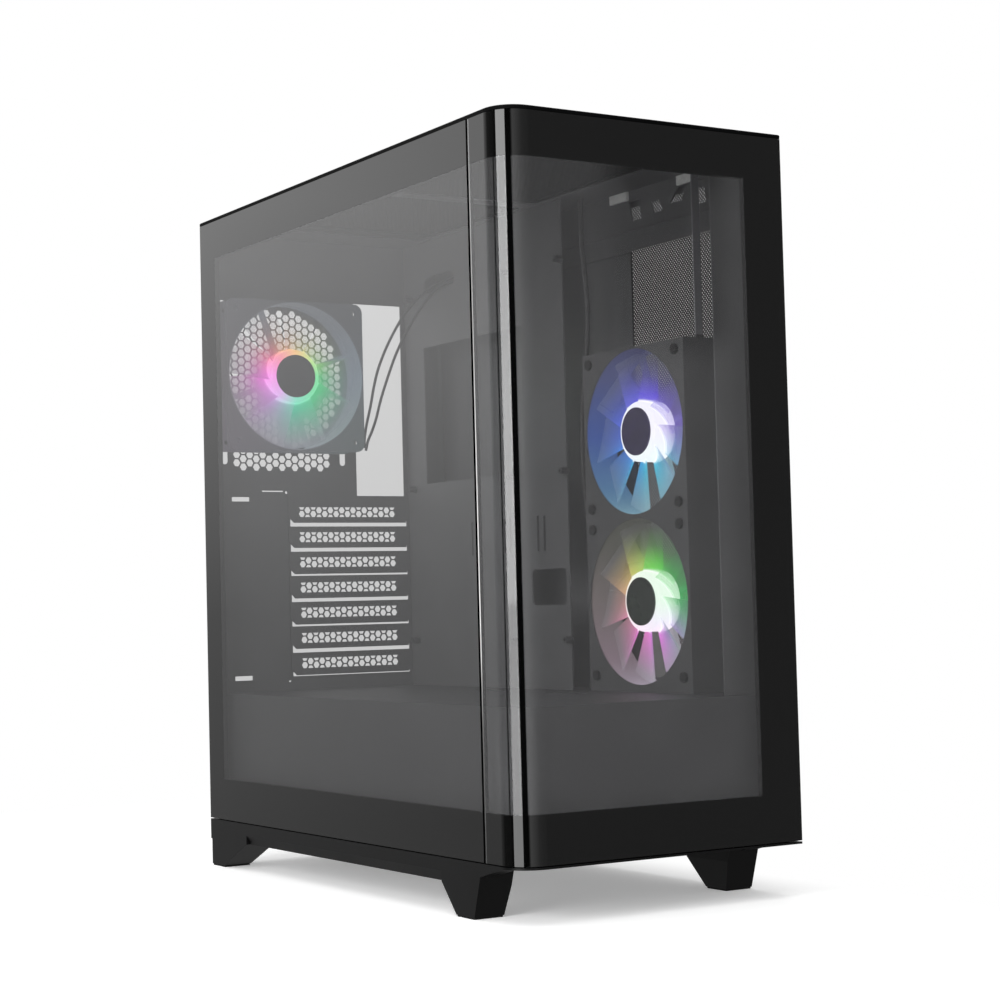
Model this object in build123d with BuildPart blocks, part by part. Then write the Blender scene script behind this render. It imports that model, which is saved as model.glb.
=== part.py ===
from build123d import *
import os
from math import hypot, pi, radians, sqrt, tan

# Desktop computer tower: a steel chassis inside a tempered glass front and side.
# X points to the steel side, Y to the rear, Z up. The origin is on the floor, under the
# middle of the case with its rear screws. Sizes are in millimetres.

# Case outline
CASE_WIDTH = 220.0
CASE_DEPTH = 454.0
CASE_HEIGHT = 506.0
CORNER_RADIUS = 20.0
GLASS_BOTTOM = 36.0
GLASS_THICKNESS = 4.0
SEAM_SETBACK = 40.0
SEAM_GAP = 1.2
SHEET = 1.0
PANEL_AIR = 2.0
FIT = 0.3

# Base and feet
SKIRT_HEIGHT = 15.5
SKIRT_FACE = 8.7
SKIRT_WIDTH = 14.0
LIP_HEIGHT = 1.4
SKIRT_BEVEL = 3.0
PANE_GAP = 0.8
PAD_HEIGHT = 1.2
PAD_MARGIN = 0.6
FOOT_TOP_WIDTH = 24.5
FOOT_BOTTOM_WIDTH = 22.0
FRONT_FOOT_SETBACK = 49.0
FRONT_FOOT_TOP = 46.0
FRONT_FOOT_TOE = 6.0
FRONT_FOOT_SOLE = 22.3
REAR_FOOT_SETBACK = 2.0
REAR_FOOT_TOP = 63.0
REAR_FOOT_SOLE = 23.0

# Top
TOP_PLATE = 2.6
TOP_PLENUM = 5.4
TOP_SKIRT_INSET = 8.0
TOP_SKIRT_WALL = 2.5
FILTER_RECESS = 1.4
TOP_FILTER_WIDTH = 172.0
TOP_FILTER_LENGTH = 360.0
TOP_FILTER_REAR_MARGIN = 28.0
FILTER_LEDGE = 6.0
MESH_SHEET = 0.6
GRID_ACROSS = 8
GRID_ALONG = 12
GRID_BAR = 6.0
FAN_WINDOW_WIDTH = 136.0
FAN_WINDOW_LENGTH = 158.0
FAN_WINDOW_BAR = 14.0

# Rear panel
REAR_INSET = 2.0
IO_WIDTH = 44.45
IO_HEIGHT = 158.75
IO_BELOW_TOP = 216.3
IO_TRAY_OFFSET = 4.3
SLOT_COUNT = 7
SLOT_PITCH = 20.32
SLOT_LENGTH = 107.5
SLOT_TRAY_OFFSET = 2.5
SLOT_BELOW_IO = 3.3
COVER_LAP = 2.0
COVER_GAPS = (3.0, 3.0, 1.4, 2.8, 1.4, 3.0, 1.4)
COVER_FLARE = 5.0
COVER_NOTCH = 1.4
COVER_BAND = 8.0
COVER_VENT_SHIFT = -2.0
CLAMP_MARGIN = 9.0
CLAMP_GAP = 1.0
CLAMP_SLOT_INSET = 14.4
CLAMP_SLOT_LENGTH = 15.8
CLAMP_SLOT_HEIGHT = 3.6
CLAMP_ROUND = 5.4
CLAMP_LINE_LENGTH = 19.0
CLAMP_LINE_HEIGHT = 1.0
CLAMP_HOLE = 1.3
PSU_WIDTH = 150.0
PSU_HEADROOM = 6.0
PSU_RIM = 5.0
PSU_RIGHT_MARGIN = 88.0
PSU_CLEARANCE = 4.0
HEX_PITCH = 6.6
HEX_WEB = 1.0
HEX_MARGIN = 1.0
HEX_SHIFT = -2.1
COVER_HEX_PITCH = 6.0
COVER_HEX_COUNT = 17

# Fans
FAN_GLASS_GAP = 3.1
FAN_IO_GAP = 5.15
FAN_DEPTH = 25.0
FAN_RIM = 1.5
FAN_HOLE_INSET = 7.5
FAN_HOLE = 4.3
FAN_FLANGE = 4.0
FAN_CORNER = 7.0
BARREL_WALL = 1.2
STRUT_WIDTH = 4.0
STRUT_DEPTH = 3.5
MOTOR_RADIUS = 18.0
HUB_RADIUS = 21.5
HUB_WALL = 2.0
HUB_ROUND = 3.0
HUB_BACK = 5.0
HUB_FRONT = 23.0
CAP_RADIUS = 17.0
CAP_HEIGHT = 1.0
SHAFT_RADIUS = 1.5
SHAFT_CLEARANCE = 0.05
BEARING_RADIUS = 3.5
STATOR_RADIUS = 16.0
BLADE_COUNT = 9
BLADE_THICKNESS = 1.4
BLADE_ROOT_CHORD = 17.0
BLADE_ROOT_RISE = 12.0
BLADE_ROOT_SAG = 1.0
BLADE_TIP_CHORD = 39.0
BLADE_TIP_RISE = 10.0
BLADE_TIP_SAG = 2.5
TIP_CLEARANCE = 1.2
REAR_FAN_RISE = 94.1
VENT_SLOT_LONG = 22.0
VENT_SLOT_SHORT = 14.0
SIDE_FAN_SETBACK = 126.4
SIDE_FAN_GAP = 3.7
SCREW_HEAD_RADIUS = 3.8
SCREW_HEAD = 2.0

# Board tray and side chamber
CABLE_SPACE = 37.0
TRAY_SETBACK = 212.0
SHROUD_BELOW_SLOTS = 11.16
SHROUD_SIDE_GAP = 3.0
SHROUD_FRONT_GAP = 5.0
SHROUD_CORNER = 14.0
CPU_CUT_REAR = 31.0
CPU_CUT_LENGTH = 150.0
CPU_CUT_RISE = 8.3
CPU_CUT_HEIGHT = 112.0
CABLE_HOLE_LENGTH = 48.0
CABLE_HOLE_HEIGHT = 27.0
CABLE_HOLE_RISE = 63.0
CABLE_HOLE_FRONT = 4.0
STANDOFF_HEIGHT = 6.5
STANDOFF_RADIUS = 2.9
STANDOFF_BORE = 1.25
BOARD_ABOVE_IO = 3.55
BOARD_REAR_HOLES = 12.0
PILLAR_SETBACK = 22.0
PILLAR_WIDTH = 38.0
RAIL_HEIGHT = 14.0
BOTTOM_RAIL_HEIGHT = 20.0
TRUSS_RAIL_HEIGHT = 30.0
RAIL_SKIRT = 14.5
RAIL_FOLD = 1.2
# Corners of the right rail's windows, from the mesh's rear edge and the rail's top
TRUSS_WINDOWS = (
    ((-22.8, -22.5), (-12.2, -22.5), (-8.2, -8.0), (-21.2, -8.0)),
    ((-49.8, -21.5), (-38.8, -21.5), (-35.2, -12.0), (-45.4, -12.0)),
    ((-72.8, -17.5), (-58.2, -17.5), (-68.2, -7.5), (-77.8, -7.5)),
    ((-100.8, -24.0), (-87.2, -24.0), (-83.8, -7.0), (-97.8, -7.0)),
)
STRAP_WIDTH = 6.0
CLIP_REAR = 3.0
CLIP_STEP = 83.0
CLIP_LENGTH = 22.0
CLIP_HEIGHT = 6.5
CLIP_DEPTH = 2.0

# Panels
STRIP_THICKNESS = 1.2
STUD_RADIUS = 3.0
STUD_LENGTH = 3.0
PANEL_SHEET = 1.2
PANEL_HEM = 3.5
MESH_FIELD_WIDTH = 96.0
MESH_FIELD_RISE = 9.0
MESH_FIELD_DROP = 20.0
MESH_FIELD_SETBACK = 77.5
THUMB_RADIUS = 5.0
THUMB_HEAD = 7.0
THUMB_SHANK = 1.8

# Lower chamber
PSU_VENT_LENGTH = 110.0
PSU_VENT_SLOTS = 11
PSU_VENT_PITCH = 11.0
PSU_VENT_SLOT = 6.0
PSU_FILTER_WIDTH = 138.0
PSU_FILTER_LENGTH = 160.0
PSU_FILTER_HEIGHT = 3.0
RUNNER_WALL = 1.6
CAGE_LENGTH = 150.0
CAGE_WIDTH = 108.0
CAGE_HEADROOM = 24.0
CAGE_FRONT_GAP = 24.0
SLED_THICKNESS = 4.0

# Top controls, in a row along the front edge
CONTROL_SETBACK = 26.0
CONTROL_DROP = 14.4
CONTROL_STEP = 25.0
CONTROL_MARGIN = 30.0
BOARD_THICKNESS = 1.6
BOARD_DEPTH = 20.0
POWER_RADIUS = 6.5
RESET_RADIUS = 3.5
BUTTON_TRAVEL = 1.2
BUTTON_PROUD = 0.8
BUTTON_FLANGE = 1.5
SWITCH_HEIGHT = 5.0
USB_LENGTH = 13.2
USB_WIDTH = 5.8
USB_C_LENGTH = 9.0
USB_C_WIDTH = 3.4
PORT_WALL = 0.5
PORT_RECESS = 0.6
JACK_RADIUS = 3.2
JACK_BORE = 1.8
JACK_DEPTH = 12.0

# Cables
LEAD_RADIUS = 1.1
CABLE_RADIUS = 2.2
GROMMET_GAP = 2.0

# Places worked out from the sizes above
LEFT = -CASE_WIDTH / 2
RIGHT = CASE_WIDTH / 2
SCREW_REACH = FIT + PANEL_SHEET + THUMB_HEAD - REAR_INSET
FRONT = -(CASE_DEPTH + SCREW_REACH) / 2
REAR = FRONT + CASE_DEPTH
INSET = GLASS_THICKNESS + PANEL_AIR
CHASSIS_LEFT = LEFT + INSET
CHASSIS_RIGHT = RIGHT - INSET
CHASSIS_FRONT = FRONT + INSET
REAR_OUTER = REAR - REAR_INSET
REAR_INNER = REAR_OUTER - SHEET
SEAM = FRONT + SEAM_SETBACK
PAN_TOP = GLASS_BOTTOM + SHEET
SKIRT_BOTTOM = GLASS_BOTTOM - SKIRT_HEIGHT
COVER_BOTTOM = CASE_HEIGHT - TOP_PLATE
FRAME_TOP = COVER_BOTTOM - TOP_PLENUM
FRAME_BOTTOM = FRAME_TOP - SHEET
PANE_BOTTOM = GLASS_BOTTOM + PANE_GAP
PANE_TOP = COVER_BOTTOM - FIT
TRAY_X = RIGHT - CABLE_SPACE
TRAY_BACK = TRAY_X + SHEET
TRAY_FRONT = FRONT + TRAY_SETBACK
SIDE_FAN_Y = FRONT + SIDE_FAN_SETBACK
IO_RIGHT = TRAY_X - IO_TRAY_OFFSET
IO_LEFT = IO_RIGHT - IO_WIDTH
IO_BOTTOM = CASE_HEIGHT - IO_BELOW_TOP
IO_TOP = IO_BOTTOM + IO_HEIGHT
BOARD_TOP_HOLES = IO_TOP + BOARD_ABOVE_IO
CPU_CUT_BOTTOM = IO_BOTTOM + CPU_CUT_RISE
SLOT_RIGHT = TRAY_X - SLOT_TRAY_OFFSET
SLOT_LEFT = SLOT_RIGHT - SLOT_LENGTH
SLOT_TOP = IO_BOTTOM - SLOT_BELOW_IO
SLOT_BOTTOM = SLOT_TOP - SLOT_COUNT * SLOT_PITCH
SHROUD_TOP = SLOT_BOTTOM - SHROUD_BELOW_SLOTS
CABLE_HOLE_BOTTOM = SHROUD_TOP + CABLE_HOLE_RISE
# The rear fan fills the room between the glass and the connector window, and all three fans are alike
FAN_LEFT = CHASSIS_LEFT + FAN_GLASS_GAP
FAN_SIZE = IO_LEFT - FAN_IO_GAP - FAN_LEFT
FAN_BORE = FAN_SIZE - 2 * FAN_RIM
FAN_HOLE_SPACING = FAN_SIZE - 2 * FAN_HOLE_INSET
FAN_HALF = FAN_SIZE / 2
REAR_FAN_X = FAN_LEFT + FAN_HALF
REAR_FAN_Z = IO_BOTTOM + REAR_FAN_RISE
SIDE_FAN_LOWER_Z = SHROUD_TOP + FAN_HALF + SIDE_FAN_GAP
HOLE_HALF = FAN_HOLE_SPACING / 2
VENT_TOP = REAR_FAN_Z + FAN_HALF + 8
VENT_BOTTOM = REAR_FAN_Z - FAN_HALF - 16
SIDE_FAN_UPPER_Z = SIDE_FAN_LOWER_Z + FAN_SIZE
BRACKET_TOP = SIDE_FAN_UPPER_Z + FAN_HALF
BRACKET_FRONT = SIDE_FAN_Y - FAN_HALF
BRACKET_REAR = SIDE_FAN_Y + FAN_HALF
SHROUD_LEFT = CHASSIS_LEFT + SHEET + SHROUD_SIDE_GAP
SHROUD_FRONT = CHASSIS_FRONT + SHEET + SHROUD_FRONT_GAP
PSU_OFFSET = RIGHT - PSU_RIGHT_MARGIN
PSU_LEFT = PSU_OFFSET - PSU_WIDTH / 2
PSU_BOTTOM = PAN_TOP + PSU_CLEARANCE
PSU_HEIGHT = SHROUD_TOP - PSU_HEADROOM - PSU_BOTTOM
CAGE_HEIGHT = SHROUD_TOP - PAN_TOP - CAGE_HEADROOM
SLED_PITCH = CAGE_HEIGHT / 2 - SLED_THICKNESS
TOP_FILTER_REAR = REAR - TOP_FILTER_REAR_MARGIN
TOP_FILTER_FRONT = TOP_FILTER_REAR - TOP_FILTER_LENGTH
MESH_FRONT = FRONT + MESH_FIELD_SETBACK
MESH_REAR = MESH_FRONT + MESH_FIELD_WIDTH
MESH_FIELD_BOTTOM = SHROUD_TOP + MESH_FIELD_RISE
MESH_FIELD_TOP = CASE_HEIGHT - MESH_FIELD_DROP
CONTROL_START = RIGHT - CONTROL_MARGIN
CONTROL_Y = FRONT + CONTROL_SETBACK
CONTROL_FLOOR = COVER_BOTTOM - CONTROL_DROP
BOARD_TOP = CONTROL_FLOOR + 2 * BOARD_THICKNESS

os.makedirs("parts", exist_ok=True)


def save(piece, node):
    """Name a finished piece and write it to its own file."""
    piece.label = node
    export_step(piece, f"parts/{node}.step")
    print(node, len(piece.solids()), round(piece.volume, 1))


def facing_front(y):
    """A plane across the case at depth y. Its X is the case's X and its Y the height."""
    return Plane.XZ.offset(-y)


def facing_side(x):
    """A plane along the case at x. Its X is the case's Y and its Y the height."""
    return Plane.YZ.offset(x)


def level(z):
    """A horizontal plane at height z."""
    return Plane.XY.offset(z)


def area(u0, u1, v0, v1, mode=Mode.ADD):
    """A rectangle between two pairs of limits."""
    with Locations(((u0 + u1) / 2, (v0 + v1) / 2)):
        Rectangle(u1 - u0, v1 - v0, mode=mode)


def outline(left, right, front, rear, radius):
    """The case's plan: square, but for the rounded corner at the front left."""
    with BuildSketch() as plan:
        with BuildLine():
            Polyline((left + radius, front), (right, front), (right, rear),
                     (left, rear), (left, front + radius))
            CenterArc((left + radius, front + radius), radius, 180, 90)
        make_face()
    return plan.sketch_local


def case_plan(inset):
    """The case's plan drawn inwards by an even inset."""
    return outline(LEFT + inset, RIGHT - inset, FRONT + inset, REAR - inset, CORNER_RADIUS - inset)


# The steel plates that lie inside the glass reach back to the rear panel
chassis_plan = outline(CHASSIS_LEFT, CHASSIS_RIGHT, CHASSIS_FRONT, REAR_INNER, CORNER_RADIUS - INSET)

# Each foot's reach along the case: front and rear at the top, then front and rear at the sole
front_top = FRONT + FRONT_FOOT_SETBACK
front_sole = front_top + FRONT_FOOT_TOE
rear_top = REAR - REAR_FOOT_SETBACK
FOOT_SPANS = {
    "front": (front_top, front_top + FRONT_FOOT_TOP, front_sole, front_sole + FRONT_FOOT_SOLE),
    "rear": (rear_top - REAR_FOOT_TOP, rear_top, rear_top - REAR_FOOT_SOLE, rear_top),
}

# Plastic skirt under the glass: a thin lip along the front, deep along both sides, open at the rear.
# Its front ends follow the slope of the feet, and its lower edge is bevelled between the feet.
lip_low = GLASS_BOTTOM - LIP_HEIGHT
face_low = GLASS_BOTTOM - SKIRT_FACE
foot_slope = FRONT_FOOT_TOE / (SKIRT_BOTTOM - PAD_HEIGHT)
bevel_front = FOOT_SPANS["front"][1]
bevel_rear = FOOT_SPANS["rear"][0]
with BuildPart() as base_skirt:
    with BuildSketch(level(lip_low)):
        add(case_plan(0))
        area(LEFT + SKIRT_WIDTH, RIGHT - SKIRT_WIDTH, FRONT + SKIRT_WIDTH, REAR + SKIRT_WIDTH, Mode.SUBTRACT)
    extrude(amount=LIP_HEIGHT)
    for outer, side in ((LEFT, -1), (RIGHT, 1)):
        with BuildSketch(facing_side(outer)):
            with BuildLine():
                Polyline(
                    (FRONT + CORNER_RADIUS, lip_low),
                    (front_top - foot_slope * (face_low - SKIRT_BOTTOM), face_low),
                    (front_top, SKIRT_BOTTOM), (REAR, SKIRT_BOTTOM), (REAR, lip_low), close=True,
                )
            make_face()
        extrude(amount=-side * SKIRT_WIDTH)
        with BuildSketch(facing_front(bevel_rear)):
            with BuildLine():
                Polyline(
                    (outer, face_low), (outer, SKIRT_BOTTOM),
                    (outer - side * SKIRT_BEVEL, SKIRT_BOTTOM), close=True,
                )
            make_face()
        extrude(amount=bevel_rear - bevel_front, mode=Mode.SUBTRACT)
save(base_skirt.part, "base_skirt")


def foot(side, top_front, top_rear, sole_front, sole_rear):
    """A foot that tapers from the skirt to its sole, with an upright outer face."""
    outer = side * CASE_WIDTH / 2
    top_inner = outer - side * FOOT_TOP_WIDTH
    sole_inner = outer - side * FOOT_BOTTOM_WIDTH
    with BuildPart() as body:
        with BuildSketch(level(PAD_HEIGHT)):
            area(min(outer, sole_inner), max(outer, sole_inner), sole_front, sole_rear)
        with BuildSketch(level(SKIRT_BOTTOM)):
            area(min(outer, top_inner), max(outer, top_inner), top_front, top_rear)
        loft()
    return body


def front_foot(side):
    """A front foot, which also rises inside the skirt to the steel floor."""
    rise = GLASS_BOTTOM - SKIRT_BOTTOM
    with BuildPart() as body:
        add(foot(side, *FOOT_SPANS["front"]).part)
        with BuildSketch(facing_side(side * (CASE_WIDTH / 2 - SKIRT_WIDTH))):
            with BuildLine():
                Polyline(
                    (front_top, SKIRT_BOTTOM), (front_top - foot_slope * rise, GLASS_BOTTOM),
                    (bevel_front, GLASS_BOTTOM), (bevel_front, SKIRT_BOTTOM), close=True,
                )
            make_face()
        extrude(amount=-side * (FOOT_TOP_WIDTH - SKIRT_WIDTH))
    return body


def pad_spot(side, sole_front, sole_rear):
    """Where a rubber pad lies under a foot's sole."""
    return (side * (CASE_WIDTH / 2 - FOOT_BOTTOM_WIDTH / 2), (sole_front + sole_rear) / 2)


for side, hand in ((-1, "left"), (1, "right")):
    save(front_foot(side).part, f"foot_front_{hand}")
    save(foot(side, *FOOT_SPANS["rear"]).part, f"foot_rear_{hand}")

# Rubber pads, one under each sole
with BuildPart() as foot_pads:
    with BuildSketch():
        for spans in FOOT_SPANS.values():
            for side in (-1, 1):
                with Locations(pad_spot(side, spans[2], spans[3])):
                    Rectangle(FOOT_BOTTOM_WIDTH - 2 * PAD_MARGIN, spans[3] - spans[2] - 2 * PAD_MARGIN)
    extrude(amount=PAD_HEIGHT)
save(foot_pads.part, "foot_pads")

# Steel floor with the power supply's intake slots
vent_centre_y = REAR_INNER - PSU_FILTER_LENGTH / 2
with BuildPart() as base_pan:
    with BuildSketch(level(GLASS_BOTTOM)):
        add(chassis_plan)
        with Locations((PSU_OFFSET, vent_centre_y)):
            with GridLocations(PSU_VENT_PITCH, 1, PSU_VENT_SLOTS, 1):
                SlotOverall(PSU_VENT_LENGTH, PSU_VENT_SLOT, rotation=90, mode=Mode.SUBTRACT)
    extrude(amount=SHEET)
save(base_pan.part, "base_pan")

# Rear panel: board connectors, expansion slots, fan vent and power supply each have a window
with BuildPart() as rear_panel:
    with BuildSketch(facing_front(REAR_OUTER)):
        area(CHASSIS_LEFT, CHASSIS_RIGHT, GLASS_BOTTOM, FRAME_TOP)
        area(REAR_FAN_X - FAN_HALF, REAR_FAN_X + FAN_HALF, VENT_BOTTOM, VENT_TOP, Mode.SUBTRACT)
        area(IO_LEFT, IO_RIGHT, IO_BOTTOM, IO_TOP, Mode.SUBTRACT)
        area(SLOT_LEFT, SLOT_RIGHT, SLOT_BOTTOM, SLOT_TOP, Mode.SUBTRACT)
        area(PSU_LEFT + PSU_RIM, PSU_LEFT + PSU_WIDTH - PSU_RIM, PSU_BOTTOM + PSU_RIM,
             PSU_BOTTOM + PSU_HEIGHT - PSU_RIM, Mode.SUBTRACT)
        clamp_right = SLOT_LEFT - COVER_LAP - CLAMP_GAP
        clamp_left = CHASSIS_LEFT + CLAMP_MARGIN
        clamp_slot_x = clamp_left + CLAMP_SLOT_INSET
        for height in (SLOT_TOP, SLOT_BOTTOM):
            with Locations((clamp_slot_x, height)):
                Rectangle(CLAMP_SLOT_LENGTH, CLAMP_SLOT_HEIGHT, mode=Mode.SUBTRACT)
        clamp_line_x = clamp_right - CLAMP_LINE_LENGTH / 2 - 2 * CLAMP_HOLE
        clamp_line_z = SLOT_TOP + 2 * SLOT_BELOW_IO
        clamp_holes = [
            (clamp_right, clamp_line_z - CLAMP_LINE_HEIGHT),
            (clamp_right, SLOT_BOTTOM - SLOT_BELOW_IO),
        ]
        with Locations((clamp_line_x, clamp_line_z)):
            Rectangle(CLAMP_LINE_LENGTH, CLAMP_LINE_HEIGHT, mode=Mode.SUBTRACT)
        with Locations(*clamp_holes):
            RegularPolygon(CLAMP_HOLE, 6, mode=Mode.SUBTRACT)
        thumb_x = CHASSIS_RIGHT - 2 * THUMB_SHANK
        thumb_heights = (GLASS_BOTTOM + 2 * PSU_HEIGHT, IO_TOP)
        with Locations(*[(thumb_x, height) for height in thumb_heights]):
            Circle(THUMB_SHANK + FIT, mode=Mode.SUBTRACT)
    extrude(amount=SHEET)
save(rear_panel.part, "rear_panel")


def hex_field(radius, pitch, web):
    """Centres of a honeycomb inside a circle, in columns that step by half a pitch."""
    column = pitch * sqrt(3) / 2
    reach = radius - (pitch - web) / 2
    spots = []
    steps = int(radius / column) + 1
    for i in range(-steps, steps + 1):
        for j in range(-steps, steps + 1):
            spot = (i * column, (j + (i % 2) / 2) * pitch)
            if hypot(*spot) < reach:
                spots.append(spot)
    return spots


# Vent plate behind the rear fan: honeycomb disc, honeycomb strip and the fan's height slots
hex_radius = (HEX_PITCH - HEX_WEB) / sqrt(3)
hex_column = HEX_PITCH * sqrt(3) / 2
strip_columns = int(FAN_HOLE_SPACING / hex_column) - 3
strip_z = -FAN_HALF - HEX_PITCH
strip = []
for i in range(strip_columns):
    x = (i - (strip_columns - 1) / 2) * hex_column
    steps = (-0.75, 0.25, 1.25) if i % 2 else (-0.25, 0.75)
    strip += [(x, strip_z + step * HEX_PITCH) for step in steps]
strip = [spot for spot in strip if hypot(*spot) > FAN_BORE / 2 + HEX_PITCH / 2]
with BuildPart() as rear_vent:
    with BuildSketch(facing_front(REAR_OUTER)):
        area(REAR_FAN_X - FAN_HALF, REAR_FAN_X + FAN_HALF, VENT_BOTTOM, VENT_TOP)
        with Locations((REAR_FAN_X + HEX_SHIFT, REAR_FAN_Z)):
            with Locations(*hex_field(FAN_BORE / 2 - HEX_MARGIN, HEX_PITCH, HEX_WEB)):
                RegularPolygon(hex_radius, 6, mode=Mode.SUBTRACT)
            with Locations(*strip):
                RegularPolygon(hex_radius, 6, mode=Mode.SUBTRACT)
        with Locations((REAR_FAN_X, REAR_FAN_Z)):
            slot_z = HOLE_HALF + FAN_HOLE / 2
            with Locations((-HOLE_HALF, -slot_z - 4), (HOLE_HALF, -slot_z - 4)):
                SlotOverall(VENT_SLOT_LONG, FAN_HOLE + 1, rotation=90, mode=Mode.SUBTRACT)
            with Locations((-HOLE_HALF, slot_z), (HOLE_HALF, slot_z)):
                SlotOverall(VENT_SLOT_SHORT, FAN_HOLE + 1, rotation=90, mode=Mode.SUBTRACT)
    extrude(amount=SHEET)
save(rear_vent.part, "rear_vent")

# Expansion slot covers: a band of staggered vents in each, and an uneven gap below it
cover_hex = (COVER_HEX_PITCH - HEX_WEB) / sqrt(3)
cover_column = COVER_HEX_PITCH * sqrt(3) / 2
with BuildSketch() as vent_band:
    for i in range(COVER_HEX_COUNT):
        x = (i - (COVER_HEX_COUNT - 1) / 2) * cover_column + COVER_VENT_SHIFT
        side = 1 if i % 2 else -1
        with Locations((x, side * COVER_HEX_PITCH / 4), (x, -side * 3 * COVER_HEX_PITCH / 4)):
            RegularPolygon(cover_hex, 6)
    area(-SLOT_LENGTH / 2, SLOT_LENGTH / 2, -COVER_BAND / 2, COVER_BAND / 2, Mode.INTERSECT)
cover_left = SLOT_LEFT - COVER_LAP
cover_right = SLOT_RIGHT + COVER_LAP
notch_x = SLOT_RIGHT - COVER_NOTCH
with BuildPart() as slot_covers:
    with BuildSketch(facing_front(REAR_INNER)):
        for i in range(SLOT_COUNT):
            cover_low = SLOT_TOP - (i + 1) * SLOT_PITCH + COVER_GAPS[i] / 2
            cover_high = SLOT_TOP - i * SLOT_PITCH - COVER_GAPS[i - 1] / 2 if i else SLOT_TOP + COVER_LAP
            with BuildLine():
                Polyline(
                    (cover_left, cover_high), (cover_left, cover_low + COVER_FLARE),
                    (cover_left + COVER_FLARE, cover_low), (notch_x, cover_low),
                    (notch_x, cover_low + COVER_NOTCH),
                    (cover_right, cover_low + COVER_NOTCH), (cover_right, cover_high), close=True,
                )
            make_face()
        with Locations(((SLOT_LEFT + SLOT_RIGHT) / 2, (SLOT_TOP + SLOT_BOTTOM) / 2)):
            with GridLocations(1, SLOT_PITCH, 1, SLOT_COUNT):
                add(vent_band.sketch, mode=Mode.SUBTRACT)
    extrude(amount=SHEET)
save(slot_covers.part, "slot_covers")

# Plate beside the slots that clamps the covers
with BuildPart() as slot_clamp:
    with BuildSketch(facing_front(REAR_INNER)):
        area(clamp_left, clamp_right, SLOT_BOTTOM - SLOT_BELOW_IO, SLOT_TOP + SLOT_BELOW_IO)
        for height in (SLOT_TOP, SLOT_BOTTOM):
            with Locations((clamp_slot_x, height)):
                Rectangle(CLAMP_SLOT_LENGTH, CLAMP_SLOT_HEIGHT, mode=Mode.SUBTRACT)
    extrude(amount=SHEET)
    fillet(slot_clamp.edges().filter_by(Axis.Y).sort_by(Axis.X)[:2], CLAMP_ROUND)
save(slot_clamp.part, "slot_clamp")

# Board tray with the cooler's cut-out, cable holes and tie slots
cpu_rear = REAR_INNER - CPU_CUT_REAR
cable_front = TRAY_FRONT + CABLE_HOLE_FRONT
with BuildPart() as board_tray:
    with BuildSketch(facing_side(TRAY_X)):
        area(TRAY_FRONT, REAR_INNER, SHROUD_TOP, FRAME_BOTTOM)
        area(cpu_rear - CPU_CUT_LENGTH, cpu_rear,
             CPU_CUT_BOTTOM, CPU_CUT_BOTTOM + CPU_CUT_HEIGHT, Mode.SUBTRACT)
        with Locations((cable_front + CABLE_HOLE_LENGTH / 2, CABLE_HOLE_BOTTOM + CABLE_HOLE_HEIGHT / 2)):
            RectangleRounded(CABLE_HOLE_LENGTH, CABLE_HOLE_HEIGHT, 5, mode=Mode.SUBTRACT)
        lead_hole_z = FRAME_BOTTOM - 4 * CABLE_HOLE_HEIGHT / 3
        lead_hole_y = cpu_rear - CABLE_HOLE_HEIGHT
        with Locations((lead_hole_y, lead_hole_z)):
            SlotOverall(CABLE_HOLE_LENGTH, CABLE_HOLE_HEIGHT / 2, mode=Mode.SUBTRACT)
        tie_front = cpu_rear - CPU_CUT_LENGTH + CABLE_HOLE_HEIGHT
        with Locations((tie_front, CPU_CUT_BOTTOM - CABLE_HOLE_LENGTH)):
            with GridLocations(CABLE_HOLE_LENGTH, 1, 3, 1):
                with GridLocations(CABLE_HOLE_HEIGHT / 3, 1, 2, 1):
                    SlotOverall(CABLE_HOLE_HEIGHT, 3, rotation=90, mode=Mode.SUBTRACT)
    extrude(amount=SHEET)
save(board_tray.part, "board_tray")

# Standoffs for the board in the standard nine places
BOARD_COLUMNS = (0.0, 154.94, 227.33)
BOARD_ROWS = (0.0, 157.48, 281.94)
standoff_spots = [
    (REAR_INNER - BOARD_REAR_HOLES - column, BOARD_TOP_HOLES - row)
    for column in BOARD_COLUMNS
    for row in BOARD_ROWS
]
with BuildPart() as standoffs:
    with BuildSketch(facing_side(TRAY_X)):
        with Locations(*standoff_spots):
            RegularPolygon(STANDOFF_RADIUS, 6)
            Circle(STANDOFF_BORE, mode=Mode.SUBTRACT)
    extrude(amount=-STANDOFF_HEIGHT)
save(standoffs.part, "standoffs")

# Places of the controls along the front edge, and the board under them
CONTROLS = {
    "power": CONTROL_START,
    "reset": CONTROL_START - CONTROL_STEP,
    "jack": CONTROL_START - 2 * CONTROL_STEP,
    "usb_right": CONTROL_START - 3 * CONTROL_STEP,
    "usb_left": CONTROL_START - 4 * CONTROL_STEP,
    "usb_c": CONTROL_START - 5 * CONTROL_STEP,
}
board_left = CONTROLS["usb_c"] - USB_LENGTH
board_right = CONTROLS["power"] + 2 * POWER_RADIUS
board_front = CONTROL_Y - BOARD_DEPTH / 2
board_rear = CONTROL_Y + BOARD_DEPTH / 2

# Steel top with two windows for fans or a radiator, and one for the control board
with BuildPart() as top_frame:
    with BuildSketch(level(FRAME_BOTTOM)):
        add(chassis_plan)
        with Locations((0, (TOP_FILTER_FRONT + TOP_FILTER_REAR) / 2)):
            with GridLocations(1, FAN_WINDOW_LENGTH + FAN_WINDOW_BAR, 1, 2):
                RectangleRounded(FAN_WINDOW_WIDTH, FAN_WINDOW_LENGTH, 8, mode=Mode.SUBTRACT)
        area(board_left - FIT, board_right + FIT, board_front - FIT, board_rear + FIT, Mode.SUBTRACT)
    extrude(amount=SHEET)
save(top_frame.part, "top_frame")

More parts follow.
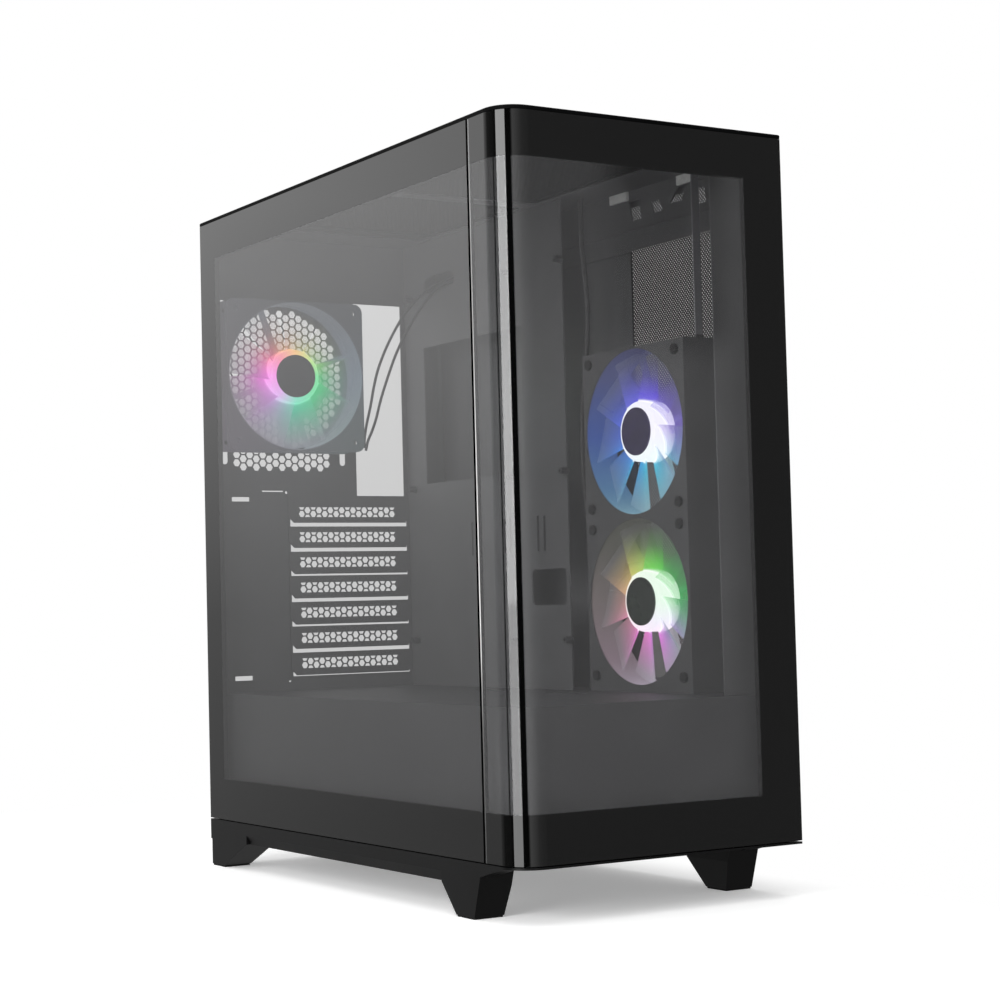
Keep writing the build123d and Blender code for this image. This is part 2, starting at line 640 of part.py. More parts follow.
# Rails along the left edge, with the sockets of the glass panel's studs
STUD_TOP = FRAME_BOTTOM - RAIL_HEIGHT / 2
STUD_BOTTOM = PAN_TOP + BOTTOM_RAIL_HEIGHT / 2
side_stud_span = CASE_DEPTH - 2 * SEAM_SETBACK
side_stud_y = (SEAM + REAR_INNER) / 2
side_studs = [
    (side_stud_y + end * side_stud_span / 2.4, height) for end in (-1, 1) for height in (STUD_TOP, STUD_BOTTOM)
]
with BuildPart() as left_rails:
    with BuildSketch(facing_side(CHASSIS_LEFT)):
        area(SEAM, REAR_INNER, FRAME_BOTTOM - RAIL_HEIGHT, FRAME_BOTTOM)
        area(SEAM, REAR_INNER, PAN_TOP, PAN_TOP + BOTTOM_RAIL_HEIGHT)
        with Locations(*side_studs):
            Circle(STUD_RADIUS + FIT, mode=Mode.SUBTRACT)
    extrude(amount=SHEET)
save(left_rails.part, "left_rails")

# Rails along the front edge, with the sockets of the front glass
corner_clear = LEFT + CORNER_RADIUS + PANEL_AIR
front_stud_x = (corner_clear + CHASSIS_RIGHT) / 2
front_stud_span = CHASSIS_RIGHT - corner_clear
front_studs = [
    (front_stud_x + end * front_stud_span / 2.4, height) for end in (-1, 1) for height in (STUD_TOP, STUD_BOTTOM)
]
with BuildPart() as front_rails:
    with BuildSketch(facing_front(CHASSIS_FRONT + SHEET)):
        area(corner_clear, CHASSIS_RIGHT, FRAME_BOTTOM - RAIL_HEIGHT, FRAME_BOTTOM)
        area(corner_clear, CHASSIS_RIGHT, PAN_TOP, PAN_TOP + BOTTOM_RAIL_HEIGHT)
        with Locations(*front_studs):
            Circle(STUD_RADIUS + FIT, mode=Mode.SUBTRACT)
    extrude(amount=SHEET)
save(front_rails.part, "front_rails")

# Right rail under the top: leaning windows like a truss, a fold below them and a plain skirt
PILLAR_Y = CHASSIS_FRONT + PILLAR_SETBACK - INSET
fold_low = FRAME_BOTTOM - TRUSS_RAIL_HEIGHT
with BuildPart() as right_rail:
    with BuildSketch(facing_side(CHASSIS_RIGHT - SHEET)):
        area(PILLAR_Y, REAR_INNER, fold_low - RAIL_SKIRT, FRAME_BOTTOM)
        for window in TRUSS_WINDOWS:
            with BuildLine():
                Polyline(*[(MESH_REAR + y, FRAME_BOTTOM + z) for y, z in window], close=True)
            make_face(mode=Mode.SUBTRACT)
    extrude(amount=SHEET)
    with BuildSketch(facing_side(CHASSIS_RIGHT - SHEET)):
        area(PILLAR_Y, REAR_INNER, fold_low, fold_low + SHEET)
    extrude(amount=-RAIL_FOLD)
save(right_rail.part, "right_rail")

# Two pale clips on the right rail, close under the top
clip_spots = [MESH_REAR + CLIP_REAR, MESH_REAR + CLIP_REAR - CLIP_STEP]
with BuildPart() as rail_clips:
    with BuildSketch(facing_side(CHASSIS_RIGHT - SHEET)):
        with Locations(*[(y, FRAME_BOTTOM - FIT - CLIP_HEIGHT / 2) for y in clip_spots]):
            Rectangle(CLIP_LENGTH, CLIP_HEIGHT)
    extrude(amount=-CLIP_DEPTH)
save(rail_clips.part, "rail_clips")

# Front pillar at the right: a broad face turned forward to the glass, which carries the controls' bracket
pillar_bottom = SHROUD_TOP
with BuildPart() as front_pillar:
    with BuildSketch(level(pillar_bottom)):
        area(CHASSIS_RIGHT - PILLAR_WIDTH, CHASSIS_RIGHT, PILLAR_Y - SHEET, PILLAR_Y)
    extrude(amount=CONTROL_FLOOR - pillar_bottom)
    with BuildSketch(level(pillar_bottom)):
        area(CHASSIS_RIGHT - SHEET, CHASSIS_RIGHT, CHASSIS_FRONT + SHEET, PILLAR_Y)
    extrude(amount=FRAME_BOTTOM - pillar_bottom)
save(front_pillar.part, "front_pillar")

# Shroud over the power supply and drives: one folded sheet with a rounded corner
with BuildPart() as psu_shroud:
    with BuildSketch(level(PAN_TOP)):
        add(outline(SHROUD_LEFT, CHASSIS_RIGHT, SHROUD_FRONT, REAR_INNER, SHROUD_CORNER))
    extrude(amount=SHROUD_TOP - PAN_TOP)
    shroud_faces = psu_shroud.faces()
    open_faces = [
        shroud_faces.sort_by(Axis.Z)[0],
        shroud_faces.sort_by(Axis.X)[-1],
        shroud_faces.sort_by(Axis.Y)[-1],
    ]
    offset(amount=-SHEET, openings=open_faces)
    with BuildSketch(level(SHROUD_TOP)):
        with Locations((TRAY_X - CABLE_HOLE_HEIGHT, 0)):
            with GridLocations(1, 2 * CABLE_HOLE_LENGTH, 1, 2):
                SlotOverall(CABLE_HOLE_LENGTH, CABLE_HOLE_HEIGHT / 2, rotation=90)
    extrude(amount=-SHEET, mode=Mode.SUBTRACT)
save(psu_shroud.part, "psu_shroud")

# Bracket for the two side fans: a channel open to the steel side, hung from the top by a strap
with BuildPart() as fan_bracket:
    with BuildSketch(level(SHROUD_TOP)):
        area(TRAY_X, TRAY_BACK, BRACKET_FRONT - FIT - SHEET, BRACKET_REAR + FIT + SHEET)
        area(TRAY_X, CHASSIS_RIGHT, BRACKET_FRONT - FIT - SHEET, BRACKET_FRONT - FIT)
        area(TRAY_X, CHASSIS_RIGHT, BRACKET_REAR + FIT, BRACKET_REAR + FIT + SHEET)
    extrude(amount=BRACKET_TOP - SHROUD_TOP)
    with BuildSketch(facing_front(BRACKET_FRONT - FIT)):
        strap_x = TRAY_BACK + FAN_HOLE_SPACING / 10
        area(strap_x, strap_x + STRAP_WIDTH, BRACKET_TOP, FRAME_BOTTOM)
    extrude(amount=SHEET)
    with BuildSketch(facing_side(TRAY_X)):
        for height in (SIDE_FAN_LOWER_Z, SIDE_FAN_UPPER_Z):
            with Locations((SIDE_FAN_Y, height)):
                Circle(FAN_BORE / 2)
                with GridLocations(FAN_HOLE_SPACING, FAN_HOLE_SPACING, 2, 2):
                    Circle(FAN_HOLE / 2)
    extrude(amount=SHEET, mode=Mode.SUBTRACT)
save(fan_bracket.part, "fan_bracket")

# One fan, modelled with its back on the XY plane and its hub facing up
with BuildPart() as fan_frame:
    with BuildSketch() as flange_plan:
        RectangleRounded(FAN_SIZE, FAN_SIZE, FAN_CORNER)
        with GridLocations(FAN_HOLE_SPACING, FAN_HOLE_SPACING, 2, 2):
            Circle(FAN_HOLE / 2, mode=Mode.SUBTRACT)
    extrude(amount=FAN_FLANGE)
    with BuildSketch(level(FAN_DEPTH - FAN_FLANGE)):
        add(flange_plan.sketch)
    extrude(amount=FAN_FLANGE)
    with BuildSketch():
        Circle(FAN_BORE / 2 + BARREL_WALL)
    extrude(amount=FAN_DEPTH)
    with BuildSketch():
        Circle(FAN_BORE / 2)
    extrude(amount=FAN_DEPTH, mode=Mode.SUBTRACT)
    with BuildSketch():
        Circle(MOTOR_RADIUS)
        with PolarLocations(0, 4, start_angle=20):
            with Locations((FAN_BORE / 4 + BARREL_WALL, 0)):
                Rectangle(FAN_BORE / 2, STRUT_WIDTH)
    extrude(amount=STRUT_DEPTH)
    with BuildSketch(level(STRUT_DEPTH)):
        Circle(BEARING_RADIUS)
    extrude(amount=HUB_FRONT - STRUT_DEPTH - 2 * HUB_WALL)
    with BuildSketch():
        Circle(SHAFT_RADIUS + SHAFT_CLEARANCE)
    extrude(amount=HUB_FRONT, mode=Mode.SUBTRACT)

# Coil and light ring that sit on the bearing tube inside the hub
with BuildPart() as fan_motor:
    with BuildSketch(level(STRUT_DEPTH)):
        Circle(STATOR_RADIUS)
        Circle(BEARING_RADIUS, mode=Mode.SUBTRACT)
    extrude(amount=(HUB_FRONT - STRUT_DEPTH) / 2)


# One blade: thin curved sections at two radii, trimmed to the hub and to the swept circle
tip_radius = FAN_BORE / 2 - TIP_CLEARANCE
blade_middle = (HUB_BACK + HUB_FRONT) / 2
BLADE_SECTIONS = (
    (HUB_RADIUS / 2, BLADE_ROOT_CHORD, BLADE_ROOT_RISE, BLADE_ROOT_SAG),
    (FAN_BORE / 2, BLADE_TIP_CHORD, BLADE_TIP_RISE, BLADE_TIP_SAG),
)
with BuildPart() as blade:
    for radius, chord, rise, sag in BLADE_SECTIONS:
        with BuildSketch(Plane(origin=(radius, 0, blade_middle), x_dir=(0, 1, 0), z_dir=(1, 0, 0))):
            with BuildLine():
                low = ThreePointArc((-chord / 2, -rise / 2), (0, -sag), (chord / 2, rise / 2))
                high = ThreePointArc(
                    (chord / 2, rise / 2 + BLADE_THICKNESS),
                    (0, BLADE_THICKNESS - sag),
                    (-chord / 2, -rise / 2 + BLADE_THICKNESS),
                )
                Line(low @ 1, high @ 0)
                Line(high @ 1, low @ 0)
            make_face()
    loft()
    with BuildSketch():
        Circle(tip_radius)
        Circle(HUB_RADIUS - HUB_WALL / 2, mode=Mode.SUBTRACT)
    extrude(amount=FAN_DEPTH, mode=Mode.INTERSECT)

# Impeller: hub cup, shaft and blades in one moulding
with BuildPart() as impeller:
    with BuildSketch(level(HUB_BACK)):
        Circle(HUB_RADIUS)
    extrude(amount=HUB_FRONT - HUB_BACK)
    fillet(impeller.edges().sort_by(Axis.Z)[-1], HUB_ROUND)
    with BuildSketch(level(HUB_BACK)):
        Circle(HUB_RADIUS - HUB_WALL)
    extrude(amount=HUB_FRONT - HUB_BACK - HUB_WALL, mode=Mode.SUBTRACT)
    with BuildSketch(level(STRUT_DEPTH)):
        Circle(SHAFT_RADIUS)
    extrude(amount=HUB_FRONT - STRUT_DEPTH - HUB_WALL / 2)
    with PolarLocations(0, BLADE_COUNT):
        add(blade.part)

# Plain cap on the hub
with BuildPart() as hub_cap:
    with BuildSketch(level(HUB_FRONT)):
        Circle(CAP_RADIUS)
    extrude(amount=CAP_HEIGHT)

rear_fan_plane = Plane(origin=(REAR_FAN_X, REAR_INNER, REAR_FAN_Z), x_dir=(1, 0, 0), z_dir=(0, -1, 0))
side_fan_back = TRAY_BACK + FAN_DEPTH
FAN_PLANES = {
    "rear_fan": rear_fan_plane,
    "upper_fan": Plane(origin=(side_fan_back, SIDE_FAN_Y, SIDE_FAN_UPPER_Z), x_dir=(0, 1, 0), z_dir=(-1, 0, 0)),
    "lower_fan": Plane(origin=(side_fan_back, SIDE_FAN_Y, SIDE_FAN_LOWER_Z), x_dir=(0, 1, 0), z_dir=(-1, 0, 0)),
}
for fan, plane in FAN_PLANES.items():
    save(fan_frame.part.moved(plane.location), f"{fan}_frame")
    save(impeller.part.moved(plane.location), f"{fan}_impeller")
    save(hub_cap.part.moved(plane.location), f"{fan}_hub_cap")

# The three motors share one node
with BuildPart() as fan_motors:
    for plane in FAN_PLANES.values():
        add(fan_motor.part.moved(plane.location))
save(fan_motors.part, "fan_motors")

# Fan screws: through the rear vent's slots from outside, and through the bracket from inside
screw_shank = FAN_HOLE / 2 - FIT
with BuildPart() as fan_screws:
    rear_holes = [
        (REAR_FAN_X + i * HOLE_HALF, REAR_FAN_Z + j * HOLE_HALF) for i in (-1, 1) for j in (-1, 1)
    ]
    side_holes = [
        (SIDE_FAN_Y + i * HOLE_HALF, height + j * HOLE_HALF)
        for height in (SIDE_FAN_LOWER_Z, SIDE_FAN_UPPER_Z)
        for i in (-1, 1)
        for j in (-1, 1)
    ]
    with BuildSketch(facing_front(REAR_OUTER)):
        with Locations(*rear_holes):
            RegularPolygon(SCREW_HEAD_RADIUS, 8)
    extrude(amount=-SCREW_HEAD)
    with BuildSketch(facing_front(REAR_OUTER)):
        with Locations(*rear_holes):
            RegularPolygon(screw_shank, 8)
    extrude(amount=SHEET + FAN_FLANGE)
    with BuildSketch(facing_side(TRAY_X)):
        with Locations(*side_holes):
            RegularPolygon(SCREW_HEAD_RADIUS, 8)
    extrude(amount=-SCREW_HEAD)
    with BuildSketch(facing_side(TRAY_X)):
        with Locations(*side_holes):
            RegularPolygon(screw_shank, 8)
    extrude(amount=SHEET + FAN_FLANGE)
save(fan_screws.part, "fan_screws")

# Side glass
with BuildPart() as side_glass:
    with BuildSketch(facing_side(LEFT)):
        area(SEAM + SEAM_GAP / 2, REAR, PANE_BOTTOM, PANE_TOP)
    extrude(amount=GLASS_THICKNESS)
save(side_glass.part, "side_glass")

# Steel strips bonded inside the side glass, and their push-in studs
strip_half = RAIL_HEIGHT / 2
strip_end = 3 * STUD_RADIUS
strip_reach = side_stud_span / 2.4 + strip_end
with BuildPart() as side_glass_strips:
    with BuildSketch(facing_side(LEFT + GLASS_THICKNESS)):
        for height in (STUD_TOP, STUD_BOTTOM):
            area(side_stud_y - strip_reach, side_stud_y + strip_reach, height - strip_half, height + strip_half)
    extrude(amount=STRIP_THICKNESS)
save(side_glass_strips.part, "side_glass_strips")

with BuildPart() as side_glass_studs:
    with BuildSketch(facing_side(LEFT + GLASS_THICKNESS + STRIP_THICKNESS)):
        with Locations(*side_studs):
            Circle(STUD_RADIUS)
    extrude(amount=STUD_LENGTH)
save(side_glass_studs.part, "side_glass_studs")

# Front glass: one pane bent round the left corner
with BuildPart() as front_glass:
    with BuildSketch(level(PANE_BOTTOM)):
        add(case_plan(0))
        add(case_plan(GLASS_THICKNESS), mode=Mode.SUBTRACT)
        area(LEFT, RIGHT, FRONT, SEAM - SEAM_GAP / 2, Mode.INTERSECT)
        area(0, RIGHT, FRONT + GLASS_THICKNESS, SEAM, Mode.SUBTRACT)
    extrude(amount=PANE_TOP - PANE_BOTTOM)
save(front_glass.part, "front_glass")

front_reach = front_stud_span / 2.4 + 2 * STUD_RADIUS
with BuildPart() as front_glass_strips:
    with BuildSketch(facing_front(FRONT + GLASS_THICKNESS)):
        for height in (STUD_TOP, STUD_BOTTOM):
            area(front_stud_x - front_reach, front_stud_x + front_reach, height - strip_half, height + strip_half)
    extrude(amount=-STRIP_THICKNESS)
save(front_glass_strips.part, "front_glass_strips")

with BuildPart() as front_glass_studs:
    with BuildSketch(facing_front(FRONT + GLASS_THICKNESS + STRIP_THICKNESS)):
        with Locations(*front_studs):
            Circle(STUD_RADIUS)
    extrude(amount=-STUD_LENGTH)
save(front_glass_studs.part, "front_glass_studs")

# Steel side panel: hemmed edges, a window for the air intake and a rear flange for two screws
panel_front = FRONT + GLASS_THICKNESS + SEAM_GAP
flange_y = REAR_OUTER + FIT
flange_left = thumb_x - 2 * THUMB_RADIUS
with BuildPart() as right_panel:
    with BuildSketch(facing_side(RIGHT - PANEL_SHEET)):
        area(panel_front, flange_y + PANEL_SHEET, PANE_BOTTOM, PANE_TOP)
        area(MESH_FRONT, MESH_REAR, MESH_FIELD_BOTTOM, MESH_FIELD_TOP, Mode.SUBTRACT)
    extrude(amount=PANEL_SHEET)
    with BuildSketch(facing_side(RIGHT - PANEL_SHEET)):
        area(panel_front, flange_y, PANE_BOTTOM, PANE_BOTTOM + PANEL_SHEET)
        area(panel_front, flange_y, PANE_TOP - PANEL_SHEET, PANE_TOP)
        area(panel_front, panel_front + PANEL_SHEET, PANE_BOTTOM, PANE_TOP)
    extrude(amount=-PANEL_HEM)
    with BuildSketch(facing_front(flange_y + PANEL_SHEET)):
        area(flange_left, RIGHT, PANE_BOTTOM, PANE_TOP)
        with Locations(*[(thumb_x, height) for height in thumb_heights]):
            Circle(THUMB_SHANK + FIT, mode=Mode.SUBTRACT)
    extrude(amount=PANEL_SHEET)
save(right_panel.part, "right_panel")

# Perforated sheet in the side panel's window
with BuildPart() as side_mesh:
    with BuildSketch(facing_side(RIGHT - PANEL_SHEET)):
        area(MESH_FRONT, MESH_REAR, MESH_FIELD_BOTTOM, MESH_FIELD_TOP)
    extrude(amount=MESH_SHEET)
save(side_mesh.part, "side_mesh")

with BuildPart() as panel_thumbscrews:
    with BuildSketch(facing_front(flange_y + PANEL_SHEET)):
        with Locations(*[(thumb_x, height) for height in thumb_heights]):
            Circle(THUMB_RADIUS)
    extrude(amount=-THUMB_HEAD)
    with BuildSketch(facing_front(flange_y + PANEL_SHEET)):
        with Locations(*[(thumb_x, height) for height in thumb_heights]):
            Circle(THUMB_SHANK)
    extrude(amount=PANEL_SHEET + FIT + 4 * SHEET)
save(panel_thumbscrews.part, "panel_thumbscrews")

# Top cover with the filter's recess and the row of controls
with BuildPart() as top_cover:
    with BuildSketch(level(COVER_BOTTOM)):
        add(case_plan(0))
    extrude(amount=TOP_PLATE)
    top_face = top_cover.faces().sort_by(Axis.Z)[-1]
    chamfer(top_face.outer_wire().edges(), TOP_PLATE / 4)
    with BuildSketch(level(FRAME_TOP)):
        add(case_plan(TOP_SKIRT_INSET))
        add(case_plan(TOP_SKIRT_INSET + TOP_SKIRT_WALL), mode=Mode.SUBTRACT)
    extrude(amount=TOP_PLENUM)
    filter_y = (TOP_FILTER_FRONT + TOP_FILTER_REAR) / 2
    with BuildSketch(level(CASE_HEIGHT)):
        with Locations((0, filter_y)):
            RectangleRounded(TOP_FILTER_WIDTH + 2 * FIT, TOP_FILTER_LENGTH + 2 * FIT, FILTER_LEDGE)
    extrude(amount=-FILTER_RECESS, mode=Mode.SUBTRACT)
    with BuildSketch(level(COVER_BOTTOM)):
        with Locations((0, filter_y)):
            Rectangle(TOP_FILTER_WIDTH - 2 * FILTER_LEDGE, TOP_FILTER_LENGTH - 2 * FILTER_LEDGE)
        with Locations((CONTROLS["power"], CONTROL_Y)):
            Circle(POWER_RADIUS + FIT)
        with Locations((CONTROLS["reset"], CONTROL_Y)):
            Circle(RESET_RADIUS + FIT)
        with Locations((CONTROLS["jack"], CONTROL_Y)):
            Circle(JACK_RADIUS + FIT)
        with Locations((CONTROLS["usb_right"], CONTROL_Y), (CONTROLS["usb_left"], CONTROL_Y)):
            Rectangle(USB_LENGTH + 2 * FIT, USB_WIDTH + 2 * FIT)
        with Locations((CONTROLS["usb_c"], CONTROL_Y)):
            SlotOverall(USB_C_LENGTH + 2 * FIT, USB_C_WIDTH + 2 * FIT)
    extrude(amount=TOP_PLATE, mode=Mode.SUBTRACT)
save(top_cover.part, "top_cover")

# Control board in a shallow bracket that hangs in the steel top's window by two ears
with BuildPart() as control_bracket:
    with BuildSketch(facing_front(board_front)):
        area(board_left - BOARD_THICKNESS, board_right + BOARD_THICKNESS,
             CONTROL_FLOOR, CONTROL_FLOOR + BOARD_THICKNESS)
        for wall, ear in ((board_left, -1), (board_right, 1)):
            outer = wall + ear * BOARD_THICKNESS
            tip = wall + ear * 3 * BOARD_THICKNESS
            area(min(wall, outer), max(wall, outer), CONTROL_FLOOR, FRAME_BOTTOM)
            area(min(wall, tip), max(wall, tip), FRAME_BOTTOM - BOARD_THICKNESS, FRAME_BOTTOM)
    extrude(amount=-BOARD_DEPTH)
save(control_bracket.part, "control_bracket")

with BuildPart() as control_board:
    with BuildSketch(level(CONTROL_FLOOR + BOARD_THICKNESS)):
        area(board_left, board_right, board_front, board_rear)
    extrude(amount=BOARD_THICKNESS)
save(control_board.part, "control_board")

port_top = CASE_HEIGHT - PORT_RECESS
port_height = port_top - BOARD_TOP
tongue_height = 0.7 * port_height
with BuildPart() as usb_ports:
    usb_spots = [(CONTROLS["usb_right"], CONTROL_Y), (CONTROLS["usb_left"], CONTROL_Y)]
    with BuildSketch(level(BOARD_TOP)):
        with Locations(*usb_spots):
            Rectangle(USB_LENGTH, USB_WIDTH)
    extrude(amount=port_height)
    with BuildSketch(level(port_top)):
        with Locations(*usb_spots):
            Rectangle(USB_LENGTH - 2 * PORT_WALL, USB_WIDTH - 2 * PORT_WALL)
    extrude(amount=-port_height + 2 * PORT_WALL, mode=Mode.SUBTRACT)
    with BuildSketch(level(BOARD_TOP)):
        with Locations(*[(x, y + USB_WIDTH / 5) for x, y in usb_spots]):
            Rectangle(USB_LENGTH - 5 * PORT_WALL, USB_WIDTH / 4)
    extrude(amount=tongue_height)
save(usb_ports.part, "usb_ports")

with BuildPart() as usb_c_port:
    with BuildSketch(level(BOARD_TOP)):
        with Locations((CONTROLS["usb_c"], CONTROL_Y)):
            SlotOverall(USB_C_LENGTH, USB_C_WIDTH)
    extrude(amount=port_height)
    with BuildSketch(level(port_top)):
        with Locations((CONTROLS["usb_c"], CONTROL_Y)):
            SlotOverall(USB_C_LENGTH - 2 * PORT_WALL, USB_C_WIDTH - 2 * PORT_WALL)
    extrude(amount=-port_height + 2 * PORT_WALL, mode=Mode.SUBTRACT)
    with BuildSketch(level(BOARD_TOP)):
        with Locations((CONTROLS["usb_c"], CONTROL_Y)):
            Rectangle(USB_C_LENGTH - 5 * PORT_WALL, PORT_WALL)
    extrude(amount=tongue_height)
save(usb_c_port.part, "usb_c_port")

with BuildPart() as audio_jack:
    with BuildSketch(level(BOARD_TOP)):
        with Locations((CONTROLS["jack"], CONTROL_Y)):
            Circle(JACK_RADIUS)
    extrude(amount=port_height)
    with BuildSketch(level(port_top)):
        with Locations((CONTROLS["jack"], CONTROL_Y)):
            Circle(JACK_BORE)
    extrude(amount=-JACK_DEPTH, mode=Mode.SUBTRACT)
save(audio_jack.part, "audio_jack")

# Button switches on the board, and the two sprung caps above them
button_spots = [(CONTROLS["power"], CONTROL_Y), (CONTROLS["reset"], CONTROL_Y)]
with BuildPart() as button_switches:
    with BuildSketch(level(BOARD_TOP)):
        with Locations(*button_spots):
            Rectangle(2 * RESET_RADIUS, 2 * RESET_RADIUS)
    extrude(amount=SWITCH_HEIGHT)
save(button_switches.part, "button_switches")


def button(name, radius):
    """A cap that stands just proud of the cover, with a flange under the plate and a stem."""
    with BuildPart() as cap:
        with BuildSketch(level(COVER_BOTTOM - FIT - BUTTON_FLANGE)):
            with Locations((CONTROLS[name], CONTROL_Y)):
                Circle(radius + BUTTON_FLANGE)
        extrude(amount=BUTTON_FLANGE)
        with BuildSketch(level(COVER_BOTTOM - FIT)):
            with Locations((CONTROLS[name], CONTROL_Y)):
                Circle(radius)
        extrude(amount=TOP_PLATE + FIT + BUTTON_PROUD)
        chamfer(cap.edges().sort_by(Axis.Z)[-1], BUTTON_PROUD / 2)
        stem_bottom = BOARD_TOP + SWITCH_HEIGHT + BUTTON_TRAVEL + FIT
        with BuildSketch(level(stem_bottom)):
            with Locations((CONTROLS[name], CONTROL_Y)):
                Circle(RESET_RADIUS / 2)
        extrude(amount=COVER_BOTTOM - FIT - stem_bottom)
    return cap


save(button("power", POWER_RADIUS).part, "power_button")
save(button("reset", RESET_RADIUS).part, "reset_button")

# Lift-off top filter: a frame in the recess, with the mesh under it
filter_seat = CASE_HEIGHT - FILTER_RECESS
grid_width = TOP_FILTER_WIDTH - 2 * FILTER_LEDGE
grid_length = TOP_FILTER_LENGTH - 2 * FILTER_LEDGE
with BuildPart() as top_filter_frame:
    with BuildSketch(level(filter_seat)):
        with Locations((0, filter_y)):
            RectangleRounded(TOP_FILTER_WIDTH, TOP_FILTER_LENGTH, FILTER_LEDGE)
            Rectangle(grid_width, grid_length, mode=Mode.SUBTRACT)
    extrude(amount=FILTER_RECESS)
save(top_filter_frame.part, "top_filter_frame")

# The fine mesh is drawn here as a plain grid
cell_x = grid_width / GRID_ACROSS
cell_y = grid_length / GRID_ALONG
with BuildPart() as top_filter_mesh:
    with BuildSketch(level(filter_seat + FIT)):
        with Locations((0, filter_y)):
            Rectangle(grid_width, grid_length)
            with GridLocations(cell_x, cell_y, GRID_ACROSS, GRID_ALONG):
                Rectangle(cell_x - GRID_BAR, cell_y - GRID_BAR, mode=Mode.SUBTRACT)
    extrude(amount=MESH_SHEET)
save(top_filter_mesh.part, "top_filter_mesh")

# Power supply filter on two runners under the floor; it draws out to the rear
filter_half = PSU_FILTER_WIDTH / 2
runner_top = GLASS_BOTTOM
filter_top = runner_top - FIT
filter_bottom = filter_top - PSU_FILTER_HEIGHT
filter_front = REAR_INNER - PSU_FILTER_LENGTH
with BuildPart() as filter_runners:
    for side in (-1, 1):
        with BuildSketch(facing_front(REAR_INNER)):
            wall = PSU_OFFSET + side * (filter_half + FIT)
            outer = wall + side * RUNNER_WALL
            shelf = wall - side * 2 * RUNNER_WALL
            shelf_top = filter_bottom - FIT
            area(min(wall, outer), max(wall, outer), shelf_top - RUNNER_WALL, runner_top)
            area(min(shelf, outer), max(shelf, outer), shelf_top - RUNNER_WALL, shelf_top)
        extrude(amount=PSU_FILTER_LENGTH)
save(filter_runners.part, "filter_runners")

with BuildPart() as psu_filter_frame:
    with BuildSketch(level(filter_bottom)):
        area(PSU_OFFSET - filter_half, PSU_OFFSET + filter_half, filter_front, REAR_OUTER)
        area(PSU_OFFSET - filter_half + FILTER_LEDGE, PSU_OFFSET + filter_half - FILTER_LEDGE,
             filter_front + FILTER_LEDGE, REAR_OUTER - 2 * FILTER_LEDGE, Mode.SUBTRACT)
    extrude(amount=PSU_FILTER_HEIGHT)
    with BuildSketch(level(filter_bottom - PSU_FILTER_HEIGHT)):
        with Locations((PSU_OFFSET, REAR_OUTER - FILTER_LEDGE / 2)):
            Rectangle(PSU_FILTER_WIDTH / 3, FILTER_LEDGE)
    extrude(amount=PSU_FILTER_HEIGHT)
save(psu_filter_frame.part, "psu_filter_frame")

with BuildPart() as psu_filter_mesh:
    with BuildSketch(level(filter_bottom + PSU_FILTER_HEIGHT / 2)):
        area(PSU_OFFSET - filter_half + FILTER_LEDGE, PSU_OFFSET + filter_half - FILTER_LEDGE,
             filter_front + FILTER_LEDGE, REAR_OUTER - 2 * FILTER_LEDGE)
    extrude(amount=MESH_SHEET)
save(psu_filter_mesh.part, "psu_filter_mesh")

# Drive cage under the shroud, open to the steel side, with two sleds on its ledges
cage_front = SHROUD_FRONT + SHEET + CAGE_FRONT_GAP
cage_rear = cage_front + CAGE_WIDTH
cage_right = CHASSIS_RIGHT - PANEL_AIR
cage_left = cage_right - CAGE_LENGTH
sled_half = CAGE_WIDTH / 2 - SHEET - FIT
cage_y = (cage_front + cage_rear) / 2
sled_heights = [PAN_TOP + 2 * SLED_THICKNESS, PAN_TOP + 2 * SLED_THICKNESS + SLED_PITCH]
with BuildPart() as drive_cage:
    with BuildSketch(level(PAN_TOP)):
        area(cage_left, cage_right, cage_front, cage_rear)
    extrude(amount=CAGE_HEIGHT)
    with BuildSketch(facing_side(cage_right)):
        area(cage_front + SHEET, cage_rear - SHEET, PAN_TOP + SHEET, PAN_TOP + CAGE_HEIGHT)
    extrude(amount=-CAGE_LENGTH, mode=Mode.SUBTRACT)
    with BuildSketch(facing_side(cage_right)):
        for height in sled_heights:
            for end in (-1, 1):
                wall = cage_y + end * (CAGE_WIDTH / 2 - SHEET)
                ledge = wall - end * SLED_THICKNESS
                area(min(wall, ledge), max(wall, ledge), height - SHEET, height)
    extrude(amount=-CAGE_LENGTH)
save(drive_cage.part, "drive_cage")

with BuildPart() as drive_sleds:
    with BuildSketch(facing_side(cage_right)):
        for height in sled_heights:
            area(cage_y - sled_half, cage_y + sled_half, height, height + SLED_THICKNESS)
    extrude(amount=-CAGE_LENGTH)
    with BuildSketch(facing_side(cage_right)):
        for height in sled_heights:
            area(cage_y - sled_half, cage_y + sled_half, height, height + 2 * SLED_THICKNESS)
    extrude(amount=-SLED_THICKNESS)
save(drive_sleds.part, "drive_sleds")


def corner_radii(points):
    """The largest easy arc at each inner point of a cable's route."""
    radii = []
    route = [Vector(*point) for point in points]
    for before, here, after in zip(route, route[1:], route[2:]):
        run_in = here - before
        run_out = after - here
        half_turn = radians(run_in.get_angle(run_out)) / 2
        radii.append(0.45 * min(run_in.length, run_out.length) / tan(half_turn))
    return radii


def cable(points, radius):
    """A round cable along straight runs joined by easy arcs."""
    radii = corner_radii(points)
    with BuildPart() as tube:
        with BuildLine() as route:
            FilletPolyline(*points, radius=radii)
        with BuildSketch(Plane(origin=route.line @ 0, z_dir=route.line % 0)):
            Circle(radius)
        sweep()
    length = sum(edge.length for edge in route.edges())
    print("cable length", round(length, 1), "radii", [round(r, 1) for r in radii])
    print("volume over section times length", round(tube.part.volume / (length * pi * radius**2), 4))
    return tube


